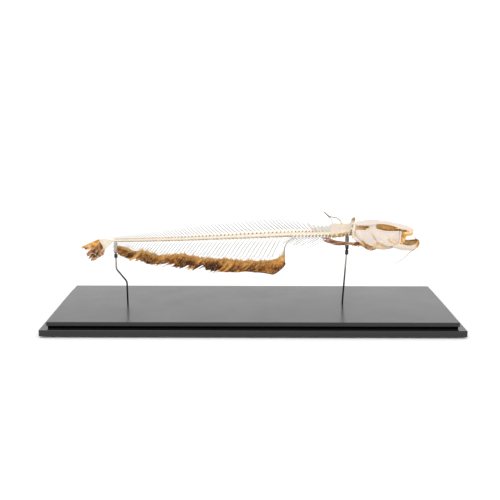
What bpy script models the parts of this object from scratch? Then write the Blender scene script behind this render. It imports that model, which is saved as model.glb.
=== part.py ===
"""Mounted skeleton of a wels catfish, 0.70 m long, held by two forked rods over a two-step black board.

The tables are in millimetres and degrees, and MM turns them into metres. The head points to +X, the fish's
right side faces -Y, and the origin is on the floor under the middle of the board.
"""

import math

import bmesh
import bpy
from mathutils import Vector

MM = 0.001
GAP = 0.3  # clearance that pieces which touch keep

# ---- driving sizes ---------------------------------------------------------------------------------------
BOARD_LENGTH, BOARD_DEPTH = 800.0, 266.0
STEP = 12.0  # how far the lower board stands out all round
LOWER_BOARD, RECESS, UPPER_BOARD = 12.6, 4.1, 8.5  # heights of the three layers
RECESS_INSET = 2.5
FOOT_RADIUS, FOOT_HEIGHT, FOOT_INSET = 5.3, 3.0, 19.0
ROD_RADIUS, COLLAR_RADIUS, PRONG_RADIUS = 1.6, 3.7, 3.2

SPINE_FRONT, FREE_SPINE, RIB_END, TAIL_END = 205.8, 158.0, 79.0, -289.0
WAIST = 0.76  # a centrum's narrowest radius, as a share of its end radius
FUSED_PITCH = 10.0  # of the five vertebrae behind the skull
RIB_CUT = 1.7  # how far under the column's middle line a thin cut parts the rib sides from the trunk

BOARD_TOP = FOOT_HEIGHT + LOWER_BOARD + RECESS + UPPER_BOARD


# ---- smooth tables ---------------------------------------------------------------------------------------
def through(*points):
    """A smooth function of x that passes through the (x, value) points and is flat beyond them."""
    points = sorted(points)
    last = len(points) - 1
    slopes = []
    for i in range(last + 1):
        before, after = points[max(i - 1, 0)], points[min(i + 1, last)]
        slopes.append((after[1] - before[1]) / (after[0] - before[0]))

    def value(x):
        x = min(max(x, points[0][0]), points[-1][0])
        i = max(k for k in range(last) if points[k][0] <= x)
        (x0, y0), (x1, y1) = points[i], points[i + 1]
        span = x1 - x0
        t = (x - x0) / span
        rise = y0 * (1 + 2 * t) * (1 - t) ** 2 + y1 * t * t * (3 - 2 * t)
        return rise + span * t * (1 - t) * (slopes[i] * (1 - t) - slopes[i + 1] * t)

    return value


column_height = through((208, 181), (150, 176.4), (76, 174.9), (-48, 169.2), (-151, 164.6), (-289, 160.8))
centrum_radius = through((208, 4.8), (117, 4.5), (14, 4.2), (-110, 3.2), (-213, 2.6), (-289, 2.1))
neural_rise = through(
    (155, 11.5), (138, 12.5), (117, 21.5), (86, 28), (56, 29),
    (2, 26), (-84, 23), (-128, 20), (-195, 13), (-278, 5),
)
neural_lean = through((155, 75), (138, 62), (117, 46), (86, 42), (-128, 42), (-195, 36), (-278, 32))
haemal_lean = through((66, 68), (40, 62), (0, 58), (-289, 54))
fin_base = through(
    (66, 133), (48, 123.5), (25, 119.3), (-27, 120.2), (-58, 124.4), (-100, 126),
    (-151, 134.5), (-193, 132), (-226, 140.5), (-246, 140.5), (-266, 147), (-281, 148), (-291, 143),
)
fin_edge = through(
    (67, 110), (48, 90.5), (-6, 94.5), (-60, 96.5), (-92, 94.3), (-108, 102.5),
    (-140, 101.5), (-183, 109), (-214, 111.5), (-235, 118.5), (-255, 118), (-272, 126), (-291, 137),
)


def pitch(x):
    """Length of a free vertebra, as counted in the photo: longest in the middle of the fish."""
    if x > 60:
        return max(7.0, 8.0 - 0.0196 * (x - 60))
    return 8.45 - 0.0075 * x if x > 0 else 8.45 + 0.0108 * x


def vertebra_ends():
    """The x of every face between two free vertebrae, from the neck to the tail."""
    ends = [FREE_SPINE]
    while ends[-1] - pitch(ends[-1]) > TAIL_END:
        ends.append(ends[-1] - pitch(ends[-1]))
    return ends


# ---- building tools --------------------------------------------------------------------------------------
for old in list(bpy.data.objects):
    bpy.data.objects.remove(old, do_unlink=True)
model = bpy.data.collections.new("catfish_skeleton")
bpy.context.scene.collection.children.link(model)


def finish(name, colour, roughness, metallic=0.0):
    material = bpy.data.materials.new(name)
    material.use_nodes = True
    shader = material.node_tree.nodes["Principled BSDF"]
    shader.inputs["Base Color"].default_value = (*colour, 1)
    shader.inputs["Roughness"].default_value = roughness
    shader.inputs["Metallic"].default_value = metallic
    return material


BONE = finish("bone", (0.82, 0.76, 0.66), 0.5)
GOLDEN_BONE = finish("golden_bone", (0.66, 0.47, 0.24), 0.45)
DRIED_FIN = finish("dried_fin", (0.36, 0.18, 0.07), 0.5)
DRIED_SKIN = finish("dried_skin", (0.42, 0.21, 0.10), 0.5)
LACQUER = finish("black_lacquer", (0.012, 0.012, 0.013), 0.25)
STEEL = finish("steel", (0.55, 0.52, 0.48), 0.3, 1.0)
SLEEVE = finish("grey_sleeve", (0.55, 0.55, 0.5), 0.3)
RUBBER = finish("black_rubber", (0.01, 0.01, 0.01), 0.6)


def piece(name, mesh, material):
    obj = bpy.data.objects.new(name, mesh)
    mesh.materials.clear()
    mesh.materials.append(material)
    model.objects.link(obj)
    return obj


def mesh_from(build):
    """A mesh made by build(bm) in millimetres, with its faces pointing out."""
    bm = bmesh.new()
    build(bm)
    bmesh.ops.recalc_face_normals(bm, faces=bm.faces)
    bmesh.ops.scale(bm, vec=(MM,) * 3, verts=bm.verts)
    mesh = bpy.data.meshes.new("shape")
    bm.to_mesh(mesh)
    bm.free()
    return mesh


def bake(obj):
    """Applies the object's modifiers."""
    graph = bpy.context.evaluated_depsgraph_get()
    graph.update()
    mesh = bpy.data.meshes.new_from_object(obj.evaluated_get(graph))
    obj.modifiers.clear()
    obj.data = mesh
    return obj


def box(name, low, high, material, bevel=0.0):
    """A box between two corners, with rounded edges where bevel is given."""

    def build(bm):
        bmesh.ops.create_cube(bm, size=1)
        for v in bm.verts:
            v.co = Vector(l + (c + 0.5) * (h - l) for l, h, c in zip(low, high, v.co))

    obj = piece(name, mesh_from(build), material)
    if bevel:
        rounding = obj.modifiers.new("edges", "BEVEL")
        rounding.width = bevel * MM
        rounding.segments = 1
    return obj


def post(name, centre, radius, bottom, top, material, sides=12):
    """An upright cylinder."""

    def build(bm):
        bmesh.ops.create_cone(
            bm, cap_ends=True, segments=sides, radius1=radius, radius2=radius, depth=top - bottom
        )
        bmesh.ops.translate(bm, vec=(*centre, (top + bottom) / 2), verts=bm.verts)

    return piece(name, mesh_from(build), material)


def tubes(name, paths, material, roundness=0):
    """Round tapered bones or wires: each path is a list of (x, y, z, radius)."""
    curve = bpy.data.curves.new(name, "CURVE")
    curve.dimensions = "3D"
    curve.bevel_depth = MM
    curve.bevel_resolution = roundness
    curve.use_fill_caps = True
    for path in paths:
        spline = curve.splines.new("POLY")
        spline.points.add(len(path) - 1)
        for point, (x, y, z, radius) in zip(spline.points, path):
            point.co = (x * MM, y * MM, z * MM, 1)
            point.radius = radius
    guide = bpy.data.objects.new(name + "_curve", curve)
    model.objects.link(guide)
    graph = bpy.context.evaluated_depsgraph_get()
    graph.update()
    mesh = bpy.data.meshes.new_from_object(guide.evaluated_get(graph))
    bpy.data.objects.remove(guide)
    bm = bmesh.new()
    bm.from_mesh(mesh)
    bmesh.ops.remove_doubles(bm, verts=bm.verts, dist=0.002 * MM)
    bmesh.ops.recalc_face_normals(bm, faces=bm.faces)
    bm.to_mesh(mesh)
    bm.free()
    return piece(name, mesh, material)


def loft(name, rings, material):
    """A closed solid through rings that have the same number of points."""

    def build(bm):
        rows = [[bm.verts.new(p) for p in ring] for ring in rings]
        count = len(rows[0])
        for a, b in zip(rows, rows[1:]):
            for i in range(count):
                j = (i + 1) % count
                bm.faces.new((a[i], a[j], b[j], b[i]))
        bm.faces.new(rows[0])
        bm.faces.new(rows[-1])

    return piece(name, mesh_from(build), material)


def sheet(name, rows, thickness, material):
    """A thin plate or fin: an open surface through rows of points, thickened evenly about it."""

    def build(bm):
        grid = [[bm.verts.new(p) for p in row] for row in rows]
        for a, b in zip(grid, grid[1:]):
            for i in range(len(a) - 1):
                bm.faces.new((a[i], a[i + 1], b[i + 1], b[i]))

    obj = piece(name, mesh_from(build), material)
    shell = obj.modifiers.new("thickness", "SOLIDIFY")
    shell.thickness = thickness * MM
    shell.offset = 0
    shell.use_even_offset = False
    return bake(obj)


def strap(name, stations, material, sides=6):
    """A flat tapered bone through stations of ((x, y, z), half height, half thickness)."""
    rings = []
    for i, (centre, tall, thick) in enumerate(stations):
        before = Vector(stations[max(i - 1, 0)][0])
        after = Vector(stations[min(i + 1, len(stations) - 1)][0])
        along = (after - before).normalized()
        reference = Vector((0, 0, 1)) if abs(along.z) < 0.8 else Vector((1, 0, 0))
        across = along.cross(reference).normalized()
        up = across.cross(along)
        turns = [2 * math.pi * (k + 0.5) / sides for k in range(sides)]
        rings.append([Vector(centre) + up * tall * math.sin(t) + across * thick * math.cos(t) for t in turns])
    return loft(name, rings, material)


def combine(how, target, *others):
    """Boolean union or difference of the target with the others, which are used up."""
    for other in others:
        step = target.modifiers.new(how, "BOOLEAN")
        step.operation = how
        step.solver = "EXACT"
        step.use_self = True
        step.object = other
        bake(target)
        bpy.data.objects.remove(other)
    return target


def part_of(obj, name, low_y, high_y, low_z, high_z):
    """The piece of obj between two y planes and between two heights above the column, as a new object."""
    copy = piece(name, obj.data.copy(), obj.data.materials[0])
    rings = []
    for x in (-60, 180):
        middle = column_height(76) + (x - 76) * (column_height(150) - column_height(76)) / 74
        corners = ((low_y, low_z), (high_y, low_z), (high_y, high_z), (low_y, high_z))
        rings.append([(x, y, middle + z) for y, z in corners])
    return combine("INTERSECT", copy, loft(name + "_keeper", rings, BONE))


def trimmed(right):
    """Cuts a right-hand piece off at the middle plane, where it meets the left one."""
    far = 600
    return combine("INTERSECT", right, box("half", (-far, -far, -far), (far, -GAP / 2, far), BONE))


def left_from(right, name):
    """The mirror image of a right-hand piece, on the fish's left side."""
    mesh = right.data.copy()
    bm = bmesh.new()
    bm.from_mesh(mesh)
    bmesh.ops.scale(bm, vec=(1, -1, 1), verts=bm.verts)
    bmesh.ops.reverse_faces(bm, faces=bm.faces)
    bm.to_mesh(mesh)
    bm.free()
    return piece(name, mesh, right.data.materials[0])


def both_sides(build):
    """Builds a right-hand piece named ..._right and its mirror image."""
    right = build()
    return right, left_from(right, right.name.replace("_right", "_left"))


def edges_between(stations, depth, bulge=0.0, steps=3):
    """Rows for a plate seen from the side: stations are (x, top, bottom), and depth(x, share) is its y."""
    rows = []
    for x, top, bottom in stations:
        row = []
        for k in range(steps + 1):
            share = k / steps
            y = depth(x, share) - bulge * math.sin(math.pi * share)
            row.append((x, y, top + (bottom - top) * share))
        rows.append(row)
    return rows


# ---- board, feet and rods ----------------------------------------------------------------------------------
ROD_FRONT = ((188.2, BOARD_TOP), (193.6, 132.5))
ROD_REAR = ((-262.7, BOARD_TOP), (-263.1, 72.6), (-284.2, 101.4), (-284.4, 124.2))


def build_boards():
    half_l, half_d = BOARD_LENGTH / 2, BOARD_DEPTH / 2
    low = FOOT_HEIGHT
    box(
        "board_lower",
        (-half_l - STEP, -half_d - STEP, low),
        (half_l + STEP, half_d + STEP, low + LOWER_BOARD - 0.05),
        LACQUER,
        bevel=0.7,
    )
    low += LOWER_BOARD
    inset = RECESS_INSET
    box(
        "board_recess",
        (-half_l + inset, -half_d + inset, low),
        (half_l - inset, half_d - inset, low + RECESS - 0.05),
        LACQUER,
    )
    low += RECESS
    upper = box("board_upper", (-half_l, -half_d, low), (half_l, half_d, BOARD_TOP), LACQUER, bevel=0.7)
    bake(upper)
    for x in (ROD_FRONT[0][0], ROD_REAR[0][0]):
        hole = post("hole", (x, 0), ROD_RADIUS + 2 * GAP, low - 5, BOARD_TOP + 5, LACQUER, sides=8)
        combine("DIFFERENCE", upper, hole)
    for side, x in (("right", half_l + STEP - FOOT_INSET), ("left", -half_l - STEP + FOOT_INSET)):
        for end, y in (("front", -half_d - STEP + FOOT_INSET), ("back", half_d + STEP - FOOT_INSET)):
            post(f"foot_{end}_{side}", (x, y), FOOT_RADIUS, 0, FOOT_HEIGHT - 0.05, RUBBER)


def rounded(points, radius):
    """The (x, z) corners of a bent wire, with each inner corner drawn as a short arc."""
    path = [points[0]]
    for before, corner, after in zip(points, points[1:], points[2:]):
        b, c, a = Vector(before), Vector(corner), Vector(after)
        start = c + (b - c).normalized() * radius
        end = c + (a - c).normalized() * radius
        for t in (0, 0.33, 0.67, 1):
            path.append(tuple(start * (1 - t) ** 2 + c * 2 * t * (1 - t) + end * t * t))
    return path + [points[-1]]


def build_rod(name, corners, bend):
    """A steel rod that stands in its hole in the upper board."""
    foot = (corners[0][0], FOOT_HEIGHT + LOWER_BOARD + RECESS + GAP)
    path = rounded([foot, *corners[1:]], bend)
    tubes(name, [[(x, 0, z, ROD_RADIUS) for x, z in path]], STEEL, roundness=2)


def build_fork(name, x, collar_bottom, collar_top, prong_top, spread):
    """A black collar on the rod's end and a sleeved U-shaped fork on it, one prong each side of the spine."""
    post(f"collar_{name}", (x, 0), COLLAR_RADIUS, collar_bottom, collar_top - GAP, RUBBER)
    bend = collar_top + PRONG_RADIUS + spread
    path = [(x, -spread, prong_top, 1.7), (x, -spread, prong_top - 1.7, PRONG_RADIUS)]
    path.append((x, -spread, bend, PRONG_RADIUS))
    for k in (1, 2, 3):
        turn = math.pi * k / 4
        path.append((x, -spread * math.cos(turn), bend - spread * math.sin(turn), PRONG_RADIUS))
    path += [(px, -py, pz, r) for px, py, pz, r in reversed(path[:3])]
    tubes(f"fork_{name}", [path], SLEEVE, roundness=2)


# ---- backbone ----------------------------------------------------------------------------------------------
HEXAGON = [math.radians(60 * k) for k in range(6)]  # flat on top, so that its faces 1 and 4 can carry spines


def grow(bm, face, path):
    """Extrudes a face along a path of (x, y, z, length, width), which makes a tapered spine."""
    for x, y, z, length, width in path:
        middle = face.calc_center_median()
        face = bmesh.ops.extrude_discrete_faces(bm, faces=[face])["faces"][0]
        for v in face.verts:
            ahead = 0.5 if v.co.x > middle.x else -0.5
            beside = 0.5 if v.co.y > middle.y else -0.5
            v.co = (x + length * ahead, y + width * beside, z)


def column(name, ends, over=None, under=None):
    """A run of hourglass vertebrae; over(x) and under(x) give the path of the spine each one carries."""
    stations = []
    for front, rear in zip(ends, ends[1:]):
        stations += [(front, 1.0), ((front + rear) / 2, WAIST)]
    stations.append((ends[-1], 1.0))
    last = len(stations) - 1

    def build(bm):
        rows = []
        for k, (x, share) in enumerate(stations):
            height, radius = column_height(x), centrum_radius(x) * share
            inward = {0: -GAP / 2, last: GAP / 2}.get(k, 0)
            corners = [(radius * math.cos(turn), radius * math.sin(turn)) for turn in HEXAGON]
            rows.append([bm.verts.new((x + inward, y, height + z)) for y, z in corners])
        bm.faces.new(rows[0])
        bm.faces.new(rows[-1])
        roots = []
        for k, (a, b) in enumerate(zip(rows, rows[1:])):
            faces = [bm.faces.new((a[i], a[i - 5], b[i - 5], b[i])) for i in range(6)]
            if k % 2:
                roots.append(((stations[k - 1][0] + stations[k + 1][0]) / 2, faces[1], faces[4]))
        for x, top, bottom in roots:
            if over and over(x):
                grow(bm, top, over(x))
            if under and under(x):
                grow(bm, bottom, under(x))

    return piece(name, mesh_from(build), BONE)


def neural_spine(x):
    """The arch and the long thin spine over a vertebra, leaning back and flattening towards the tip."""
    height, radius = column_height(x), centrum_radius(x)
    rise, lean = neural_rise(x), math.radians(neural_lean(x))
    arch = height + radius + 1.6
    back = rise / math.tan(lean)
    blade = x > 126  # the first spines are broad blades
    return [
        (x - 2.4, 0, arch, (0.4 if blade else 0.3) * pitch(x), 1.4),
        (x - 2.0 - back, 0, arch + rise, 2.5 if blade else 0.9, 0.55),
    ]


def haemal_tip(x):
    """Where the spine under a vertebra ends, just over the base of the anal fin."""
    lean = math.tan(math.radians(haemal_lean(x)))
    root = column_height(x) - centrum_radius(x)
    tip = x
    for _ in range(12):  # the base line is curved, so the tip is found by repeated steps
        tip = x - 2.2 - (root - fin_base(tip) - 1.6) / lean
    return tip, fin_base(tip) + 1.6


def haemal_spine(x):
    """The thin spine under a tail vertebra."""
    if x > FIN_FRONT - 1:
        return None
    root = column_height(x) - centrum_radius(x) - 1.2
    tip_x, tip = haemal_tip(x)
    return [
        (x - 2.6, 0, root, 0.28 * pitch(x), 1.3),
        (tip_x, 0, tip, 0.9, 0.55),
    ]


def rib(x, side):
    """A thin rib from the lower side of a trunk vertebra, swept back, out and down."""
    share = 0.72 + 0.28 * (x - RIB_END) / (FREE_SPINE - RIB_END)
    height = column_height(x)
    return [
        (x + 0.5, side * 1.2, height - 2.8, 0.9),
        (x - 13 * share, side * (4 + 11.5 * share), height - 5 - 5.5 * share, 0.9),
        (x - 42 * share, side * (4 + 12 * share), height - 4 - 26 * share, 0.35),
    ]


def middles(ends):
    return [(a + b) / 2 for a, b in zip(ends, ends[1:])]


def build_neck():
    """The fused vertebrae behind the skull, with their crest and their broad side plates."""
    count = round((SPINE_FRONT - FREE_SPINE) / FUSED_PITCH)
    ends = [SPINE_FRONT - FUSED_PITCH * k for k in range(count)] + [FREE_SPINE]
    neck = column("neck_vertebrae", ends)
    crest_x = (200, 194, 188, 182, 176, 170, 164, 159)
    crest = [(x, 198.2 + (0.8 if k % 2 else -0.4), column_height(x) + 2.4) for k, x in enumerate(crest_x)]
    crest_plate = sheet("crest", edges_between(crest, lambda x, s: 0, steps=1), 1.6, BONE)

    def wing(side):
        rows = []
        for x, reach in ((204, 9), (198, 17), (188, 20), (176, 17), (166, 9)):
            base = column_height(x) - 3.0
            middle = (x - 1, side * 0.5 * (reach + 3), base - 1)
            rows.append([(x, side * 3, base), middle, (x - 3, side * reach, base - 4)])
        return sheet("wing", rows, 1.5, BONE)

    return combine("UNION", neck, crest_plate, wing(-1), wing(1))


def build_trunk(ends):
    """The rib-bearing vertebrae, modelled whole and parted by thin cuts into the column and two rib sides."""
    whole = column("trunk_whole", ends, over=neural_spine)
    ribs = [tubes("ribs", [rib(x, side) for x in middles(ends)], BONE) for side in (-1, 1)]
    combine("UNION", whole, *ribs)
    part_of(whole, "trunk_vertebrae", -90, 90, -RIB_CUT + GAP / 2, 90)
    part_of(whole, "ribs_right", -90, -GAP / 2, -90, -RIB_CUT - GAP / 2)
    part_of(whole, "ribs_left", GAP / 2, 90, -90, -RIB_CUT - GAP / 2)
    bpy.data.objects.remove(whole)


def build_tail_plate():
    """The fan of fused plates that ends the backbone and carries the tail fin."""
    rows = []
    for share in (0, 0.35, 0.7, 1):
        top = Vector((-289.5, 162.2)).lerp(Vector((-317.5, 164.0)), share)
        low = Vector((-288.5, 157.6)).lerp(Vector((-306.0, 141.2)), share)
        notch = 2.2 * share**4
        row = []
        for k in range(5):
            point = top.lerp(low, k / 4)
            row.append((point.x + (notch if k == 2 else 0), 0, point.y))
        rows.append(row)
    return sheet("tail_plate", rows, 1.8, BONE)


# ---- fins --------------------------------------------------------------------------------------------------
FIN_FRONT, FIN_REAR = 66.0, -287.0
FIN_CUTS = (FIN_FRONT, -50.0, -168.0, FIN_REAR)
CARRIER_END = -240.0  # the last of the small bones over the fin
fin_sweep = through((66, -1), (57, 5), (45, 15), (30, 24), (-240, 22), (-262, 13), (-287, 4))
fin_side = through((66, 0), (-255, 0), (-272, 8.6), (-291, 9.2))  # the rear end lies behind the rear fork


def fin_row(x, number):
    """One ray of the anal fin, from its base to its ragged end."""
    tip_x = x - fin_sweep(x)
    tip = fin_edge(tip_x) + (1.8 if number % 2 else -1.0)
    base = fin_base(x)
    wave = 2.6 * math.sin(x / 13.0) + 1.4 * math.sin(x / 5.1)
    side = fin_side(x)
    return [
        (x, side, base),
        (0.45 * tip_x + 0.55 * x, side + 0.4 * wave, base + 0.48 * (tip - base)),
        (tip_x, side + wave, tip),
    ]


def fin_columns(tips):
    """The x of the rays: a pair about the tip of every haemal spine, with room for one small bone between."""
    columns = [FIN_FRONT]
    while columns[-1] - 4.4 > tips[0] + 6.5:
        columns.append(columns[-1] - 4.4)
    around = [2 * tips[0] - tips[1], *tips, 2 * tips[-1] - tips[-2]]
    for before, tip, after in zip(around, tips, around[2:]):
        columns += [tip + 0.38 * (before - tip), tip - 0.38 * (tip - after)]
    return [x for x in columns if x > FIN_REAR + 2] + [FIN_REAR]


def build_anal_fin(tips):
    """The long fin in three lengths, each with the thin bones that reach up between the haemal spines."""
    columns = fin_columns(tips)
    gaps = [(a + b) / 2 for a, b in zip(tips, tips[1:])]
    names = ("anal_fin_front", "anal_fin_middle", "anal_fin_rear")
    for name, front, rear in zip(names, FIN_CUTS, FIN_CUTS[1:]):
        first = min(range(len(columns)), key=lambda k: abs(columns[k] - front))
        last = min(range(len(columns)), key=lambda k: abs(columns[k] - rear))
        rows = [fin_row(columns[k], k) for k in range(first, last + 1)]
        rows[0] = [(x - 2 * GAP, y, z) for x, y, z in rows[0]]
        fin = sheet(name, rows, 1.1, DRIED_FIN)
        bm = bmesh.new()
        bm.from_mesh(fin.data)
        bmesh.ops.scale(bm, vec=(1 / MM,) * 3, verts=bm.verts)
        bm.faces.ensure_lookup_table()
        for face in list(bm.faces):
            x, _, z = face.calc_center_median()
            on_base = abs(z - fin_base(x)) < 0.4 and CARRIER_END < x < FIN_FRONT - 8
            if on_base and min(abs(x - gap) for gap in gaps) < 0.8:
                lean, reach = math.radians(haemal_lean(x) - 2), 12.5 + 0.022 * x
                grow(bm, face, [(x + reach * math.cos(lean), 0, z + reach * math.sin(lean), 0.9, 0.55)])
        bmesh.ops.recalc_face_normals(bm, faces=bm.faces)
        bmesh.ops.scale(bm, vec=(MM,) * 3, verts=bm.verts)
        bm.to_mesh(fin.data)
        bm.free()
        if front == FIN_FRONT:
            leader = [(86.5, 0, 168.4, 1.0), (72, 0, 159, 1.2), (65.6, 0, 150, 1.1), (64.6, 0, 129, 1.2)]
            combine("UNION", fin, tubes("leader", [leader], DRIED_FIN))


def build_tail_fin():
    """The dried tail fin in two ragged lobes that droop from the edge of the tail plate."""
    plate_edge = Vector((-318.2, 163.6)), Vector((-306.8, 140.8))
    lobes = {
        "tail_fin_upper": ((0, -357.8, 146), (0.1, -354, 143.5), (0.2, -345, 141), (0.3, -340, 142.2)),
        "tail_fin_lower": (
            (0.34, -339.4, 140.5), (0.42, -345.5, 134), (0.5, -349.2, 129),
            (0.6, -344, 123.7), (0.68, -339, 119), (0.76, -336.4, 114.1),
            (0.84, -330, 116.2), (0.9, -319, 124), (1, -308.5, 130.5),
        ),
    }
    for name, rays in lobes.items():
        rows = []
        for share, x, z in rays:
            root = plate_edge[0].lerp(plate_edge[1], share)
            row = []
            for k in range(4):
                point = root.lerp(Vector((x, z)), k / 3)
                row.append((point.x, 2.2 * (k / 3) * math.sin(9 * share + 0.8), point.y))
            rows.append(row)
        sheet(name, rows, 1.1, DRIED_FIN)


def build_dorsal_fin():
    """The small dorsal fin: two supports that meet under a short bundle of dried rays."""
    front = [(180.3, 0, 200.2, 1.1), (177.5, 0, 205, 0.8), (171.5, 0, 209.4, 0.9), (161.5, 0, 211.2, 0.8)]
    fin = tubes("dorsal_fin", [[*front, (155, 0, 212.6, 0.9)]], DRIED_SKIN, roundness=1)
    rear = [(162.3, 0, 200.2, 0.6), (160.6, 0, 205, 0.6), (156.6, 0, 211.8, 0.7)]
    joined = [tubes("rear_support", [rear], DRIED_SKIN)]
    for y in (-0.7, 0.7):
        ray = [(157.5, y, 210.6, 1.1), (150, 1.4 * y, 218.2, 1.0), (144.5, 1.6 * y, 224.1, 0.5)]
        joined.append(tubes("ray", [ray], DRIED_SKIN))
    return combine("UNION", fin, *joined)


# x, top and bottom of each fin seen from the side
RIGHT_FIN = (
    (214.5, 168, 158.8), (207, 168, 158.5), (200, 166.8, 160.8), (194, 167.2, 161.6), (186, 168.8, 160.6),
    (176, 169.8, 160.2), (166, 171.6, 160.4), (157, 174.6, 162.6), (148, 177.8, 165.4), (137.5, 177.4, 172.2),
)
LEFT_FIN = (
    (214, 173.4, 164.8), (204, 174.2, 164.6), (194, 172.8, 164.2),
    (182, 170.4, 163.4), (169, 168.4, 162.4), (152, 167.6, 164.4),
)


def build_pectoral_fins():
    """Narrow ragged fans laid back along the belly; the left one is folded a little higher."""

    def depth(side):
        return lambda x, share: side * (41.4 + 1.6 * math.sin(x / 4 + 3 * share) - 2.5 * share)

    sheet("pectoral_fin_right", edges_between(RIGHT_FIN, depth(-1), steps=2), 1.4, DRIED_FIN)
    sheet("pectoral_fin_left", edges_between(LEFT_FIN, depth(1), steps=2), 1.4, DRIED_FIN)


# ---- head --------------------------------------------------------------------------------------------------
# x, then the roof: half width, height of its ridge and of its edge; then the braincase: half width, keel height
SKULL = (
    (202.6, 2.4, 198.2, 197.0, 1.6, 192.5),
    (206.1, 4.8, 199.4, 197.4, 3.2, 191.0),
    (206.7, 5.2, 199.6, 197.5, 4.2, 177.4),
    (217, 17.5, 202.2, 197.6, 9, 174),
    (229, 21.5, 203.6, 198.6, 13, 173),
    (243, 22.5, 204.6, 200.2, 12, 175),
    (254, 20.5, 204.8, 200.9, 9.5, 177.4),
    (266, 14.6, 203.5, 198.3, 7.5, 179.5),
    (282, 13.5, 201.2, 195.0, 7, 180),
    (296, 19.5, 198.3, 191.6, 9, 180),
    (305, 16.5, 196.2, 190.0, 8, 180),
    (315, 12.5, 193.7, 187.6, 7, 181),
    (323, 11.0, 190.4, 185.4, 6, 181.5),
    (329, 7.5, 186.2, 183.6, 4, 182),
)


def build_braincase():
    """The skull roof with the narrow braincase and snout under it."""
    rings = []
    for x, wide, ridge, edge, case, keel in SKULL:
        half = [
            (0, ridge), (0.55 * wide, ridge - 0.25 * (ridge - edge)), (wide, edge), (wide - 0.4, edge - 2.0),
            (case, edge - 3.4), (case, keel + 0.3 * (edge - keel)), (0.5 * case, keel + 0.8), (0, keel),
        ]
        ring = [(x, -y, z) for y, z in half] + [(x, y, z) for y, z in reversed(half[1:-1])]
        rings.append(ring)
    return loft("braincase", rings, BONE)


def build_upper_jaw():
    """The tooth-bearing arch under the snout."""
    half = (
        ((304.5, -25.2, 179.6), 2.6, 1.4),
        ((311, -22.8, 180.4), 4.6, 2.2),
        ((318.5, -17.4, 180.2), 4.8, 2.6),
        ((323.8, -10.4, 178.3), 3.3, 3.0),
        ((326.2, 0, 177.4), 2.8, 3.1),
    )
    whole = list(half) + [((x, -y, z), a, b) for (x, y, z), a, b in reversed(half[:-1])]
    return strap("upper_jaw", whole, GOLDEN_BONE, sides=8)


def build_lower_jaw():
    """The right half of the wide arch of the lower jaw, from the chin to the jaw joint."""
    stations = (
        ((342.2, 2.0, 158.0), 5.0, 2.2),
        ((339.4, -8, 157.0), 5.3, 2.2),
        ((333.5, -16, 155.2), 6.2, 2.2),
        ((322, -23, 153.6), 7.0, 2.0),
        ((309, -27.5, 154.8), 7.2, 1.9),
        ((299, -30, 157.2), 7.4, 2.0),
        ((290, -31.5, 157.4), 4.4, 2.2),
    )
    return trimmed(strap("lower_jaw_right", stations, BONE, sides=8))


def build_cheek():
    """The plate of fused cheek bones that hangs from the skull roof and carries the lower jaw."""
    stations = (
        (228, 192.4, 187.6), (233, 193.0, 184.6), (240, 193.6, 178), (247, 193.6, 168.6),
        (252.5, 192.6, 164), (257, 190.4, 161), (266, 189.2, 157.4), (275, 188.4, 156.6),
        (284, 187.6, 162.6), (290, 186.8, 164.4), (296, 186.2, 166.4),
    )

    def depth(x, share):
        return -17.2 - 11 * min(1, share * 1.6) if x < 255 else -21 - 7.5 * share

    return sheet("cheek_right", edges_between(stations, depth, bulge=1.2), 2.2, BONE)


def build_gill_cover():
    """The fan-shaped plate behind the cheek."""
    stations = (
        (206, 190.8, 184.4), (211.5, 191.6, 174.8), (219, 191.8, 169.4), (228, 190.8, 164.2),
        (236, 184.6, 160.2), (242, 174, 158), (249, 164, 160.4),
    )
    rows = edges_between(stations, lambda x, s: -31.6 - 2.4 * s, bulge=1.0, steps=3)
    return sheet("gill_cover_right", rows, 1.7, BONE)


def build_maxilla():
    """The slim bone at the corner of the mouth."""
    route = (
        (301.5, -25.5, 184.6, 1.2), (299.6, -28, 180, 1.0), (298.6, -31, 172.5, 0.9), (297.6, -33, 166.6, 0.8),
    )
    return tubes("maxilla_right", [route], BONE, roundness=1)


def build_hyoid():
    """The throat bar and the fan of thin rays that closes the gill chamber from below."""
    bar = strap(
        "hyoid_right",
        (
            ((301, -4, 153.4), 1.6, 1.6),
            ((289, -13, 152.2), 2.4, 1.6),
            ((273, -22, 151.6), 3.2, 1.7),
            ((260, -26.2, 153.6), 4.4, 1.8),
            ((249, -28.2, 156.4), 3.6, 1.5),
            ((242, -28.6, 158.0), 1.8, 1.2),
        ),
        BONE,
    )
    rays = []
    for k in range(3):
        x, y = 283 - 10 * k, -16.4 - 4.6 * k
        middle = (x - 13, y - 5 + 1.2 * k, 148.8 + 0.8 * k, 0.9)
        rays.append([(x, y, 151.4, 0.9), middle, (x - 24, y - 6.5 + 2.4 * k, 150.4 + 1.4 * k, 0.5)])
    return combine("UNION", bar, *[tubes("ray", [ray], BONE) for ray in rays])


def build_girdle():
    """The shoulder girdle: a curved strap behind the gill cover that meets its fellow under the throat."""
    stations = (
        ((208.5, -27.6, 205.6), 1.2, 1.0),
        ((204.5, -29, 198), 2.6, 1.3),
        ((202.4, -31, 190), 3.2, 1.4),
        ((203, -33, 179), 3.6, 1.5),
        ((207.5, -34.8, 169.5), 4.6, 1.8),
        ((217.5, -33.4, 158.5), 4.6, 2.0),
        ((229.5, -25, 150.6), 4.2, 1.9),
        ((240, -12, 146.2), 4.0, 1.8),
        ((247.2, 2.0, 144.2), 4.0, 1.8),
    )
    return trimmed(strap("shoulder_girdle_right", stations, BONE))


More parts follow.
